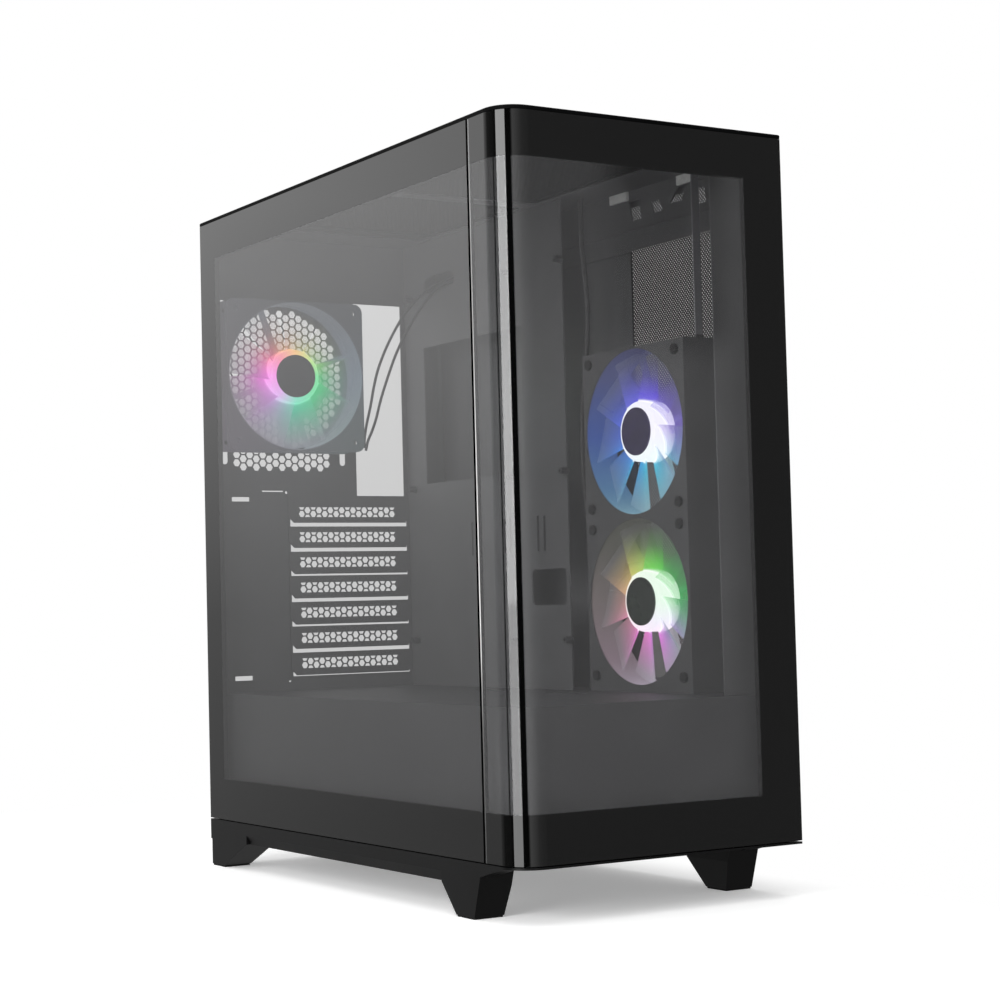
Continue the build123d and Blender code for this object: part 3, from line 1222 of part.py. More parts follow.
# Two thin leads from the rear fan's side, over the connector window and through the tray.
# The first places are measured from the fan's lower front edge, the last from the tray's hole.
FAN_SIDE = Vector(REAR_FAN_X + FAN_HALF, REAR_INNER - FAN_DEPTH, REAR_FAN_Z - FAN_HALF)
LEAD_HOLE = Vector(TRAY_X, lead_hole_y, lead_hole_z)
LEAD_ONE_FAN = [
    (1.3, 3.15, 3.7), (1.7, 3.35, 12.2), (3.8, 3.25, 22.7), (7.9, 2.85, 38.3),
    (10.4, 2.05, 52.7), (13.3, 0.05, 66.8), (18.3, -3.95, 82.9), (24.2, -10.25, 98.7),
]
LEAD_ONE_HOLE = [(-23, 14.25, -23), (-11, 5.25, -8), (1, -0.25, 0.5), (13, -3.75, 4.5)]
LEAD_TWO_FAN = [
    (1.3, 0.65, 1.3), (3.2, 0.55, 9.2), (7.6, 0.45, 17.7), (11.4, 0.05, 28.0),
    (14.8, -1.15, 42.3), (19.3, -4.15, 58.5), (24.7, -9.75, 78.5),
]
LEAD_TWO_HOLE = [(-24, 15.65, -42), (-15, 7.25, -23), (-5, 0.75, -8), (6, -3.25, -0.5), (18, -5.75, 1.5)]


def lead_route(fan_steps, hole_steps):
    """A lead's points: near the fan first, then near the tray's hole."""
    near_fan = [tuple(FAN_SIDE + Vector(*step)) for step in fan_steps]
    near_hole = [tuple(LEAD_HOLE + Vector(*step)) for step in hole_steps]
    return near_fan + near_hole


with BuildPart() as rear_fan_leads:
    add(cable(lead_route(LEAD_ONE_FAN, LEAD_ONE_HOLE), LEAD_RADIUS).part)
    add(cable(lead_route(LEAD_TWO_FAN, LEAD_TWO_HOLE), LEAD_RADIUS).part)
save(rear_fan_leads.part, "rear_fan_leads")

# Control cable down the channel between the tray and the fan bracket
channel_x = TRAY_BACK + 4 * CABLE_RADIUS
channel_y = (BRACKET_REAR + FIT + SHEET + TRAY_FRONT) / 2
channel_top = FRAME_BOTTOM - FIT
channel_drop = channel_top - SHROUD_TOP - FIT
CONTROL_SWAY = [(0, 0), (-1, -2), (2, -4), (1, -1), (-2, 2), (-1, 4), (2, 3), (1, -1), (-2, -3), (-2, -2)]
control_route = [
    (channel_x + sway[0], channel_y + sway[1], channel_top - channel_drop * i / (len(CONTROL_SWAY) - 1))
    for i, sway in enumerate(CONTROL_SWAY)
]
save(cable(control_route, CABLE_RADIUS).part, "control_cable")
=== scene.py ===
# %% [markdown]
# # A desktop computer tower in glass and steel
# The tower is an empty enclosure: a steel chassis behind a smoked glass side and a smoked glass
# front that bends round one corner. The solids come from the CAD frame, so this lesson starts
# by loading them. Everything after it adds finishes, finer pieces, light and a camera.

# %% The CAD frame
import math

import bpy
from mathutils import Matrix, Vector


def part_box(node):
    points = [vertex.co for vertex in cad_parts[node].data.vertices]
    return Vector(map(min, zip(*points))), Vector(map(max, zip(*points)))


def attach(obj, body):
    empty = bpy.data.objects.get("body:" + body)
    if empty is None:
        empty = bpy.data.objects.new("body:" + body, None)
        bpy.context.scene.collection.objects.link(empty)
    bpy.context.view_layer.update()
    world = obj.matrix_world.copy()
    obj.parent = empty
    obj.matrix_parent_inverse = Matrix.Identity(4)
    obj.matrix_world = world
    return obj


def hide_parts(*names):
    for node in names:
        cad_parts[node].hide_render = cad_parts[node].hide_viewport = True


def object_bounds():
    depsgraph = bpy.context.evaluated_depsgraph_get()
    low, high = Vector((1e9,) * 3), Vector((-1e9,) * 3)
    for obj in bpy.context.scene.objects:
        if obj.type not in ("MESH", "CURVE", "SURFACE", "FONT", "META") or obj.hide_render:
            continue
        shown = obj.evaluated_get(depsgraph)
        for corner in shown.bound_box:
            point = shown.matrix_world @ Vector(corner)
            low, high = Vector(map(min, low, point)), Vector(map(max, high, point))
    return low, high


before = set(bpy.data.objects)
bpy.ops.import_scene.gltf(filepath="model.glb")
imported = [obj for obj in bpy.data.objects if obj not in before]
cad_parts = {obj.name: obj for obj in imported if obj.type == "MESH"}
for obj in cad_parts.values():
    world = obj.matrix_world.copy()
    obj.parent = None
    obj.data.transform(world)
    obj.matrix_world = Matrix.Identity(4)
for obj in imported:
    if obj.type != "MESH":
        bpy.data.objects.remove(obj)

cad_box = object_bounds()
for left_over in ("Cube", "Light", "Camera"):
    if left_over in bpy.data.objects:
        bpy.data.objects.remove(bpy.data.objects[left_over])
cad_nodes = [o for o in bpy.data.objects if o.type == "MESH"]
print("CAD nodes:", len(cad_nodes))

# %% [markdown]
# Lengths in Blender are metres, and the maker's drawings are in millimetres. One factor turns
# one into the other, so that every size below can be read off the drawing.

# %% Millimetres and colours
MM = 0.001


def linear(written):
    """A colour as it is written on screen, turned into the linear numbers that a shader takes."""
    parts = [int(written[i:i + 2], 16) / 255 for i in (1, 3, 5)]
    return tuple(p / 12.92 if p <= 0.04045 else ((p + 0.055) / 1.055) ** 2.4 for p in parts) + (1.0,)


def grey(tone):
    """A grey of a given strength, for ramps that carry a number."""
    return (tone, tone, tone, 1.0)


WHITE = grey(1.0)
BLACK = grey(0.0)
print("mid grey is", round(linear("#808080")[0], 3), "in linear light")

# %% [markdown]
# A material is a small graph of nodes. It could be built by hand with a dozen lines for each
# node. One helper is enough: it adds a node, sets what the node should be, sets the numbers on
# its sockets, and links other nodes into it.

# %% One helper for all nodes
def add_node(tree, kind, settings=None, values=None, links=None):
    """Add a node with its settings, the values of its sockets and the links into its sockets."""
    made = tree.nodes.new(kind)
    for name, setting in (settings or {}).items():
        setattr(made, name, setting)
    for name, value in (values or {}).items():
        made.inputs[name].default_value = value
    for name, source in (links or {}).items():
        tree.links.new(source, made.inputs[name])
    return made


def empty_material(name):
    """A material with no nodes but its output, and the object's own coordinates to draw on."""
    material = bpy.data.materials.new(name)
    material.use_nodes = True
    tree = material.node_tree
    tree.nodes.clear()
    output = add_node(tree, "ShaderNodeOutputMaterial")
    place = add_node(tree, "ShaderNodeTexCoord").outputs["Object"]
    return material, tree, output, place


def stops(ramp_node, marks):
    """Set a ramp's stops from pairs of place and colour."""
    ramp = ramp_node.color_ramp
    while len(ramp.elements) < len(marks):
        ramp.elements.new(0.5)
    for element, (place, colour) in zip(ramp.elements, marks):
        element.position = place
        element.color = colour
    return ramp_node.outputs["Color"]


print("node helper ready")

# %% [markdown]
# Powder coat, moulded plastic and rubber have one thing in common: a fine grain that scatters
# the light, over a colour that is never quite even. The grain could be an image, but a noise
# that is sized in millimetres stays sharp from any distance. The same recipe, with other sizes,
# serves all of the tower's opaque black parts.

# %% A grained finish
def grained(name, dark, light, grain, relief, rough, patch=40.0, metal=0.0, level=0.5, painted_light_zone=None):
    """An opaque finish: two near colours in soft patches, and a grain of a size in mm. An optional lighter
    tone beyond a plane along one axis is painted light.
    """
    material, tree, output, place = empty_material(name)
    patches = add_node(tree, "ShaderNodeTexNoise", values={"Scale": 1 / (patch * MM), "Detail": 4.0},
                       links={"Vector": place})
    colour = stops(add_node(tree, "ShaderNodeValToRGB", links={"Fac": patches.outputs["Fac"]}),
                   [(0.35, linear(dark)), (0.65, linear(light))])
    # A lighter tone beyond a plane along one axis: painted light
    if painted_light_zone:
        axis, test, at, tone = painted_light_zone
        along = add_node(tree, "ShaderNodeSeparateXYZ", links={"Vector": place}).outputs[axis]
        there = add_node(tree, "ShaderNodeMath", {"operation": test}, {1: at * MM}, {0: along})
        painted_light_tone = add_node(tree, "ShaderNodeMix", {"data_type": "RGBA"},
                         links={"Factor": there.outputs[0], "A": colour})
        painted_light_tone.inputs["B"].default_value = linear(tone)
        colour = painted_light_tone.outputs["Result"]
    bumps = add_node(tree, "ShaderNodeTexNoise", values={"Scale": 1 / (grain * MM), "Detail": 2.0},
                     links={"Vector": place})
    wear = add_node(tree, "ShaderNodeMapRange", values={"To Min": rough - 0.07, "To Max": rough + 0.07},
                    links={"Value": patches.outputs["Fac"]})
    skin = add_node(tree, "ShaderNodeBump", values={"Strength": 0.6, "Distance": relief * MM},
                    links={"Height": bumps.outputs["Fac"]})
    shader = add_node(tree, "ShaderNodeBsdfPrincipled",
                      values={"Metallic": metal, "Specular IOR Level": level},
                      links={"Base Color": colour, "Roughness": wear.outputs["Result"],
                             "Normal": skin.outputs["Normal"]})
    tree.links.new(shader.outputs["BSDF"], output.inputs["Surface"])
    return material


# Sprayed as dry powder and baked: a matt black, given a mid grey here as painted light, so that the dim
# inside reads lit
powder_coat_painted_light = grained("powder_coated_steel_painted_light", "#5c5c5e", "#646466", 0.9, 0.03, 0.52)
# The same coat on the shroud, painted darker than on the sheets above it: painted shade
shroud_coat_painted_shade = grained("powder_coated_shroud_painted_shade", "#424244", "#4a4a4c", 0.9, 0.03, 0.5)
# The outer panel is black and finer on its outside; its inside takes a mid grey like the inner coat, painted
# light in the shaded channel behind it
panel_coat_painted_light_inside = grained("powder_coated_panel_painted_light_inside", "#1c1c1e", "#222224", 0.7, 0.02, 0.45,
                     painted_light_zone=("X", "LESS_THAN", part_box("right_panel")[1][0] / MM - 0.6, "#646466"))
# The same coat on the fan bracket, with a lighter tone above the fans as painted light, where it is one thin
# strap in front of the panel
bracket_coat_painted_light = grained("powder_coated_bracket_painted_light", "#545456", "#5c5c5e", 0.9, 0.03, 0.52,
                       painted_light_zone=("Z", "GREATER_THAN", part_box("upper_fan_frame")[1][2] / MM + 2, "#86868a"))
# Injection moulded in a spark-eroded tool, which leaves an even matt grain
moulded_black = grained("moulded_black_plastic", "#060606", "#0a0a0b", 0.5, 0.02, 0.42, level=0.22)
# The top cover is moulded in a coarser tool, so that its edge hardly shines
cover_black = grained("moulded_cover_plastic", "#030303", "#060607", 0.7, 0.03, 0.65, level=0.06)
# Moulded in a polished tool: a small dark mirror
polished_black = grained("polished_black_plastic", "#050506", "#08080a", 2.5, 0.001, 0.12)
# Soft pads under the feet
foot_rubber = grained("foot_rubber", "#0e0e0e", "#161616", 0.8, 0.05, 0.8, level=0.3)
# Steel screws blackened with zinc
black_zinc = grained("black_zinc_screw", "#2b2b2d", "#3a3a3d", 0.4, 0.005, 0.35, patch=3.0, metal=1.0)
# Screws and standoffs inside, black, given a grey like the sheets that they hold: painted light
coated_screw_painted_light = grained("coated_screw_painted_light", "#454547", "#4c4c4e", 0.4, 0.005, 0.45, patch=3.0)
# Screws of the fans, black like the frames
dark_screw = grained("black_fan_screw", "#1a1a1c", "#212123", 0.4, 0.005, 0.5, patch=3.0)
# Stamped and plated shells of the ports
plated_steel = grained("plated_port_steel", "#b4b6b8", "#c9cbcd", 0.6, 0.004, 0.25, patch=4.0, metal=1.0)
# Pale nylon of the clips under the top
pale_nylon = grained("pale_nylon", "#d6d6d4", "#e4e4e2", 0.6, 0.02, 0.5, patch=8.0)
# Extruded cable sheath
cable_sheath = grained("cable_sheath", "#343436", "#3e3e40", 1.2, 0.06, 0.55, patch=6.0)
# Dark lacquer of the fan motors
motor_lacquer = grained("motor_lacquer", "#1a1a1c", "#29292c", 0.8, 0.01, 0.4, patch=5.0)
# Thin steel, punched all over and coated
punched_steel = grained("punched_steel", "#1c1c1e", "#242426", 0.5, 0.01, 0.5, patch=15.0)
# The filters are woven from blackened wire, which hardly shines
woven_black = grained("woven_black_mesh", "#0a0a0b", "#0f0f10", 0.4, 0.01, 0.7, patch=15.0, level=0.2)
print("opaque finishes:", len(bpy.data.materials))

# %% [markdown]
# The small board under the controls is glass fibre under green lacquer, with copper tracks that
# show through it. Tracks could be drawn one by one. A brick pattern stretched along the board
# gives the same look of thin lines at right angles, for three nodes.

# %% Lacquered board
board_lacquer, tree, output, place = empty_material("lacquered_board")
tracks = add_node(tree, "ShaderNodeTexBrick", {"offset": 0.37},
                  {"Color1": linear("#0f3d26"), "Color2": linear("#12472c"), "Mortar": linear("#2a6b45"),
                   "Scale": 1 / (12 * MM), "Mortar Size": 0.02, "Brick Width": 0.6, "Row Height": 0.12},
                  {"Vector": place})
board_shader = add_node(tree, "ShaderNodeBsdfPrincipled", values={"Roughness": 0.3},
                        links={"Base Color": tracks.outputs["Color"]})
tree.links.new(board_shader.outputs["BSDF"], output.inputs["Surface"])
print("board finish:", board_lacquer.name)

# %% [markdown]
# Each pane is smoked tempered glass with a black border printed on its back. The border hides
# the steel strips and studs. It could be a second sheet, but print has no thickness, so the
# material decides by the place on the pane: inside the limits the glass is clear and lets about
# half of the light through, outside them it is opaque and black. The gloss of the front surface
# runs over both. Only the face that looks at the viewer darkens, so a pane counts once. The bent
# corner carries two dark lines of painted shade down its whole height, where the bent glass looks
# dark, so a pane may also have dark lines: they are given as angles round an upright axis. Where
# the panes meet, their ground edges show: a dark line on the side pane, and on the front pane a
# pale one with a painted highlight that is brightest halfway up. So a pane may have an edge, with
# tones by height. In the front pane's upper right corner, where the punched panel behind it stands
# out sharply, the smoke fades to a darker tone over a height and a width: painted shade.

# %% Smoked glass with a printed border
def blend(tree, factor, first, second):
    """A mix of two colours by a factor."""
    mixed = add_node(tree, "ShaderNodeMix", {"data_type": "RGBA"},
                     links={"Factor": factor, "A": first, "B": second})
    return mixed.outputs["Result"]


def times(tree, first, second):
    """The product of two numbers."""
    return add_node(tree, "ShaderNodeMath", {"operation": "MULTIPLY"}, links={0: first, 1: second}).outputs[0]


PRINT_BLACK = "#050505"
LINE_BLUR = 0.7
PANE_TOP = 500.0


def printed_glass(name, limits, cover, smoke, edge, axis_of_bend=None, painted_shade_lines=(), shaded_haze=None, haze_shade_limits=()):
    """Smoked glass that is clear inside limits, given as axis, test and place in mm."""
    material, tree, output, place = empty_material(name)
    axes = add_node(tree, "ShaderNodeSeparateXYZ", links={"Vector": place}).outputs
    clear = None
    for axis, test, at in limits:
        within = add_node(tree, "ShaderNodeMath", {"operation": test}, {1: at * MM}, {0: axes[axis]})
        clear = within.outputs[0] if clear is None else times(tree, clear, within.outputs[0])
    # The lines round the bend are made black like the print: painted shade
    if axis_of_bend:
        from_bend = add_node(tree, "ShaderNodeVectorMath", {"operation": "SUBTRACT"},
                             {1: axis_of_bend}, {0: place})
        angle = add_node(tree, "ShaderNodeTexGradient", {"gradient_type": "RADIAL"},
                         links={"Vector": from_bend.outputs["Vector"]})
        marks = [(0.0, WHITE)]
        for start, end in painted_shade_lines:
            marks += [((start - LINE_BLUR) / 360, WHITE), (start / 360, BLACK),
                      (end / 360, BLACK), ((end + LINE_BLUR) / 360, WHITE)]
        lines = stops(add_node(tree, "ShaderNodeValToRGB", links={"Fac": angle.outputs["Fac"]}), marks)
        clear = times(tree, clear, lines)
    test, at, skin, edge_tones = edge
    beyond = add_node(tree, "ShaderNodeMath", {"operation": test}, {1: at * MM}, {0: axes["Y"]})
    outer = add_node(tree, "ShaderNodeMath", {"operation": "LESS_THAN"}, {1: skin * MM}, {0: axes["X"]})
    ground = times(tree, beyond.outputs[0], outer.outputs[0])
    unground = add_node(tree, "ShaderNodeMath", {"operation": "SUBTRACT"}, {0: 1.0}, {1: ground})
    clear = times(tree, clear, unground.outputs[0])
    smear = add_node(tree, "ShaderNodeTexNoise", values={"Scale": 1 / (90 * MM), "Detail": 3.0},
                     links={"Vector": place})
    polish = add_node(tree, "ShaderNodeMapRange", values={"To Min": 0.02, "To Max": 0.045},
                      links={"Value": smear.outputs["Fac"]})
    tone = stops(add_node(tree, "ShaderNodeValToRGB", links={"Fac": clear}),
                 [(0.0, linear(PRINT_BLACK)), (1.0, linear(smoke))])
    # The smoke fades to a darker tone over the given limits: painted shade
    if shaded_haze:
        haze_shade_mask = clear
        for axis, start, end in haze_shade_limits:
            ramp = add_node(tree, "ShaderNodeMapRange", {"interpolation_type": "SMOOTHSTEP"},
                            {"From Min": start * MM, "From Max": end * MM}, {"Value": axes[axis]})
            haze_shade_mask = times(tree, haze_shade_mask, ramp.outputs["Result"])
        shaded_haze_tone = stops(add_node(tree, "ShaderNodeValToRGB", links={"Fac": clear}),
                        [(0.0, linear(PRINT_BLACK)), (1.0, linear(shaded_haze))])
        tone = blend(tree, haze_shade_mask, tone, shaded_haze_tone)
    # The ground edge's tones by height; on the front pane they carry a painted highlight
    up = add_node(tree, "ShaderNodeMapRange", values={"From Max": PANE_TOP * MM}, links={"Value": axes["Z"]})
    edge_tone = stops(add_node(tree, "ShaderNodeValToRGB", links={"Fac": up.outputs["Result"]}),
                      [(z / PANE_TOP, linear(written)) for z, written in edge_tones])
    tone = blend(tree, ground, tone, edge_tone)
    polished = add_node(tree, "ShaderNodeMapRange", values={"To Min": 0.5, "To Max": 1.0},
                        links={"Value": clear})
    level = add_node(tree, "ShaderNodeMapRange", values={"To Max": 0.0},
                     links={"Value": ground, "To Min": polished.outputs["Result"]})
    shader = add_node(tree, "ShaderNodeBsdfPrincipled",
                      values={"IOR": 1.5, "Coat IOR": 1.5, "Coat Roughness": 0.03},
                      links={"Base Color": tone, "Roughness": polish.outputs["Result"],
                             "Specular IOR Level": level.outputs["Result"], "Coat Weight": clear})
    behind = add_node(tree, "ShaderNodeNewGeometry").outputs["Backfacing"]
    facing = add_node(tree, "ShaderNodeMapRange", values={"To Min": cover, "To Max": 0.0},
                      links={"Value": behind})
    covered = add_node(tree, "ShaderNodeMapRange", values={"To Min": 1.0},
                       links={"Value": clear, "To Max": facing.outputs["Result"]})
    see_through = add_node(tree, "ShaderNodeBsdfTransparent")
    pane = add_node(tree, "ShaderNodeMixShader", links={
        "Fac": covered.outputs["Result"], 1: see_through.outputs["BSDF"], 2: shader.outputs["BSDF"]})
    tree.links.new(pane.outputs["Shader"], output.inputs["Surface"])
    return material


BORDER_LOW = 68.0
BORDER_HIGH = 474.0
SIDE_BORDER = 27.0
FRONT_BORDER = 32.0
SIDE_EDGE = 1.2
FRONT_EDGE = 1.3
OUTER_SKIN = 0.6
BEND_RADIUS = 20.0
# Angles round the bend, in degrees, of the two lines of painted shade
PAINTED_BEND_SHADE = ((21.5, 24.5), (46.5, 56.5))
side_low, side_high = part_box("side_glass")
front_low, front_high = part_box("front_glass")
front_left = front_low[0] / MM
# Where the haze is painted darker, as painted shade: upwards, to the right, and back again near the right
# border
HAZE_PAINTED_SHADE = [("Z", 342.0, 380.0), ("X", front_left + 62.0, front_left + 100.0),
              ("X", front_left + 182.0, front_left + 158.0)]
# The ground edge's tones by height in mm: dark on the side pane, and on the front pane pale with a painted
# highlight brightest halfway up
SIDE_TONES = [(0, "#020202"), (500, "#020202")]
FRONT_EDGE_PAINTED_HIGHLIGHT = [(40, "#464646"), (115, "#585858"), (145, "#787878"), (168, "#b6b6b6"), (193, "#c2c2c2"),
               (300, "#aeaeae"), (360, "#929292"), (450, "#828282"), (500, "#747474")]
side_pane = printed_glass("smoked_side_glass", [
    ("Z", "GREATER_THAN", BORDER_LOW), ("Z", "LESS_THAN", BORDER_HIGH),
    ("Y", "LESS_THAN", side_high[1] / MM - SIDE_BORDER)], 0.5, "#2e2e2f",
    ("LESS_THAN", side_low[1] / MM + SIDE_EDGE, side_high[0] / MM + 1.0, SIDE_TONES))
front_pane = printed_glass("smoked_front_glass", [
    ("Z", "GREATER_THAN", BORDER_LOW), ("Z", "LESS_THAN", BORDER_HIGH),
    ("X", "LESS_THAN", front_high[0] / MM - FRONT_BORDER)], 0.4, "#505051",
    ("GREATER_THAN", front_high[1] / MM - FRONT_EDGE, front_left + OUTER_SKIN, FRONT_EDGE_PAINTED_HIGHLIGHT),
    (front_low[0] + BEND_RADIUS * MM, front_low[1] + BEND_RADIUS * MM, 0.0), PAINTED_BEND_SHADE,
    "#0c0c0d", HAZE_PAINTED_SHADE)
print("panes printed above", BORDER_HIGH, "and below", BORDER_LOW, "mm")

# %% [markdown]
# The fans have lamps in their hubs. The hub and the blades are moulded in milky plastic, which
# carries the light outwards: bright at the hub, then strongly coloured, then pale and dull at the
# tips, with each side of the fan in another colour. The studio light on the blades is painted in as
# well: the tips are paler and the plastic milkier at the bottom, and darker and clearer at the top.
# Small lamps round the hub would take long to render. A glow in the plastic itself, by angle and by
# distance from the axle, looks the same.

# %% Lit fan plastic
FAN_HALF = 60.0


def round_axle(tree, place, centre, across):
    """The turn round an axle, from the left by the bottom, and the distance from it as a share."""
    from_axle = add_node(tree, "ShaderNodeVectorMath", {"operation": "SUBTRACT"}, {1: centre}, {0: place})
    axes = add_node(tree, "ShaderNodeSeparateXYZ", links={"Vector": from_axle.outputs["Vector"]}).outputs
    axis, side = across
    to_right = add_node(tree, "ShaderNodeMath", {"operation": "MULTIPLY"}, {1: side}, {0: axes[axis]})
    face_on = add_node(tree, "ShaderNodeCombineXYZ",
                       links={"X": to_right.outputs[0], "Y": axes["Z"]}).outputs[0]
    turn = add_node(tree, "ShaderNodeTexGradient", {"gradient_type": "RADIAL"}, links={"Vector": face_on})
    reach = add_node(tree, "ShaderNodeVectorMath", {"operation": "LENGTH"}, links={0: face_on})
    share = add_node(tree, "ShaderNodeMath", {"operation": "DIVIDE"},
                     {1: FAN_HALF * MM}, {0: reach.outputs["Value"]})
    return turn.outputs["Fac"], share.outputs[0]


def wheel(tree, turn, colours):
    """Colours spread evenly round the turn, and back to the first."""
    marks = [(i / len(colours), linear(colour)) for i, colour in enumerate(colours)]
    return stops(add_node(tree, "ShaderNodeValToRGB", links={"Fac": turn}), marks + [(1.0, marks[0][1])])


def round_values(tree, turn, tones):
    """Numbers spread evenly round the turn, and back to the first."""
    marks = [(i / len(tones), grey(tone)) for i, tone in enumerate(tones)]
    return stops(add_node(tree, "ShaderNodeValToRGB", links={"Fac": turn}), marks + [(1.0, marks[0][1])])


def lit_plastic(name, centre, across, near, far_with_painted_light, milk_with_painted_light, hub_tint, root_milk):
    """Milky plastic that glows round an axle, in eight colours near it and eight far from it."""
    material, tree, output, place = empty_material(name)
    turn, share = round_axle(tree, place, centre, across)
    near_hue = wheel(tree, turn, near)
    spread = add_node(tree, "ShaderNodeMapRange", values={"From Min": 0.45, "From Max": 0.9},
                      links={"Value": share})
    hue = blend(tree, spread.outputs["Result"], near_hue, wheel(tree, turn, far_with_painted_light))
    hub = stops(add_node(tree, "ShaderNodeValToRGB", links={"Fac": share}), [(0.364, WHITE), (0.39, BLACK)])
    white = add_node(tree, "ShaderNodeMix", {"data_type": "RGBA"}, {"Factor": hub_tint}, {"B": near_hue})
    white.inputs["A"].default_value = WHITE
    glow = blend(tree, hub, hue, white.outputs["Result"])
    power = stops(add_node(tree, "ShaderNodeValToRGB", links={"Fac": share}), [
        (0.365, grey(0.9)), (0.385, grey(0.6)), (0.5, grey(0.5)), (0.72, grey(0.44)), (0.97, grey(0.4))])
    strength = add_node(tree, "ShaderNodeMath", {"operation": "MULTIPLY"}, {1: 1.7}, {0: power})
    shader = add_node(tree, "ShaderNodeBsdfPrincipled",
                      values={"Base Color": linear("#6a6c70"), "Roughness": 0.38},
                      links={"Emission Color": glow, "Emission Strength": strength.outputs[0]})
    root = stops(add_node(tree, "ShaderNodeValToRGB", links={"Fac": share}),
                 [(0.38, WHITE), (0.46, grey(0.8)), (0.66, BLACK)])
    milky = blend(tree, root, round_values(tree, turn, milk_with_painted_light), round_values(tree, turn, root_milk))
    body = add_node(tree, "ShaderNodeMath", {"operation": "MAXIMUM"}, links={0: milky, 1: hub})
    see_through = add_node(tree, "ShaderNodeBsdfTransparent")
    mixed = add_node(tree, "ShaderNodeMixShader", links={
        "Fac": body.outputs[0], 1: see_through.outputs["BSDF"], 2: shader.outputs["BSDF"]})
    tree.links.new(mixed.outputs["Shader"], output.inputs["Surface"])
    return material


def middle(node):
    """The middle of a CAD node's box."""
    low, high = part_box(node)
    return tuple((a + b) / 2 for a, b in zip(low, high))


# Colours go round from the left by the bottom and the right to the top
NEAR = {
    "rear": ("#fa62e4", "#d890ea", "#30d8b0", "#00dc8c", "#18e07c", "#b4e060", "#f4b040", "#f65c8a"),
    "upper": ("#2f66ee", "#1c9cf2", "#06c8e6", "#62c8f0", "#8c58fa", "#6c44f8", "#5038f4", "#3448e4"),
    "lower": ("#e09a90", "#f284c8", "#fa7cf0", "#b8a0ea", "#00e456", "#10e434", "#7ce63c", "#e6cc48"),
}
# The pale tips carry painted studio light: paler and brighter at the bottom, darker at the top
FAR_WITH_PAINTED_LIGHT = {
    "rear": ("#948a98", "#a89eb2", "#a4aab6", "#94a8ac", "#8494a4", "#6c7480", "#6a7078", "#80808c"),
    "upper": ("#3a5eb4", "#5c90bc", "#9accda", "#a0bed0", "#7a80c0", "#4a4a6a", "#44446a", "#50588e"),
    "lower": ("#807676", "#988490", "#c4b8ca", "#b4bcbe", "#3aa866", "#3c6046", "#4c4e48", "#5e5e58"),
}
# Milkiness by angle, high at the bottom and low at the top: painted studio light on the blades
MILK_WITH_PAINTED_LIGHT = {
    "rear": (0.35, 0.62, 0.72, 0.5, 0.35, 0.1, 0.08, 0.18),
    "upper": (0.78, 0.84, 0.92, 0.85, 0.6, 0.16, 0.14, 0.5),
    "lower": (0.66, 0.76, 0.92, 0.85, 0.6, 0.16, 0.14, 0.42),
}
ACROSS = {"rear": ("X", 1.0), "upper": ("Y", -1.0), "lower": ("Y", -1.0)}
# At the roots the blades are thick and milky, but thin on the side where the hub's wall shows through
ROOT_MILK = {
    "rear": (0.85, 0.85, 0.95, 0.95, 0.7, 0.3, 0.25, 0.5),
    "upper": (0.95, 0.95, 0.95, 0.3, 0.16, 0.2, 0.8, 0.95),
    "lower": (0.95, 0.95, 0.95, 0.3, 0.16, 0.2, 0.8, 0.95),
}
HUB_TINT = {"rear": 0.85, "upper": 0.12, "lower": 0.2}
blades = {fan: lit_plastic(f"lit_{fan}_blades", middle(f"{fan}_fan_frame"), ACROSS[fan], NEAR[fan], FAR_WITH_PAINTED_LIGHT[fan],
                           MILK_WITH_PAINTED_LIGHT[fan], HUB_TINT[fan], ROOT_MILK[fan]) for fan in NEAR}
print("lit fans:", list(blades))

# %% [markdown]
# The frames round the blades are smoky plastic, and catch the same light on their inner walls. A
# glow by angle stands for it, strong in the bore and faint outside it. The caps on the hubs are
# polished, and each carries a painted reflection of its own fan's colour in its tone.

# %% Fan frames and caps
def lit_frame(name, centre, across, colours):
    """Smoky plastic with a glow of the fan's own colours, faint outside the bore."""
    material, tree, output, place = empty_material(name)
    turn, share = round_axle(tree, place, centre, across)
    hue = wheel(tree, turn, colours)
    power = stops(add_node(tree, "ShaderNodeValToRGB", links={"Fac": share}),
                  [(0.975, grey(0.8)), (0.992, grey(0.25))])
    grain = add_node(tree, "ShaderNodeTexNoise", values={"Scale": 1 / (0.6 * MM)}, links={"Vector": place})
    skin = add_node(tree, "ShaderNodeBump", values={"Strength": 0.5, "Distance": 0.02 * MM},
                    links={"Height": grain.outputs["Fac"]})
    shader = add_node(tree, "ShaderNodeBsdfPrincipled",
                      values={"Base Color": linear("#2c2d30"), "Roughness": 0.5},
                      links={"Emission Color": hue, "Emission Strength": power,
                             "Normal": skin.outputs["Normal"]})
    tree.links.new(shader.outputs["BSDF"], output.inputs["Surface"])
    return material


frames = {fan: lit_frame(f"smoky_{fan}_frame", middle(f"{fan}_fan_frame"), ACROSS[fan], FAR_WITH_PAINTED_LIGHT[fan])
          for fan in FAR_WITH_PAINTED_LIGHT}
# Each cap's tone carries a painted reflection of its own fan's colour
cap_tones_painted_reflection = {"rear": ("#31323a", "#383a44"), "upper": ("#2a2050", "#33285c"), "lower": ("#1e2a22", "#27342a")}
caps = {fan: grained(f"polished_{fan}_cap", dark, light, 2.5, 0.001, 0.2, patch=12.0)
        for fan, (dark, light) in cap_tones_painted_reflection.items()}
print("frames and caps:", len(frames) + len(caps))

# %% [markdown]
# Every CAD node came in with the slot that the record gives it. The finishes now go onto those
# slots. A few pieces share a slot but not a look, such as the two panes and the three fans, so
# these are named after the others.

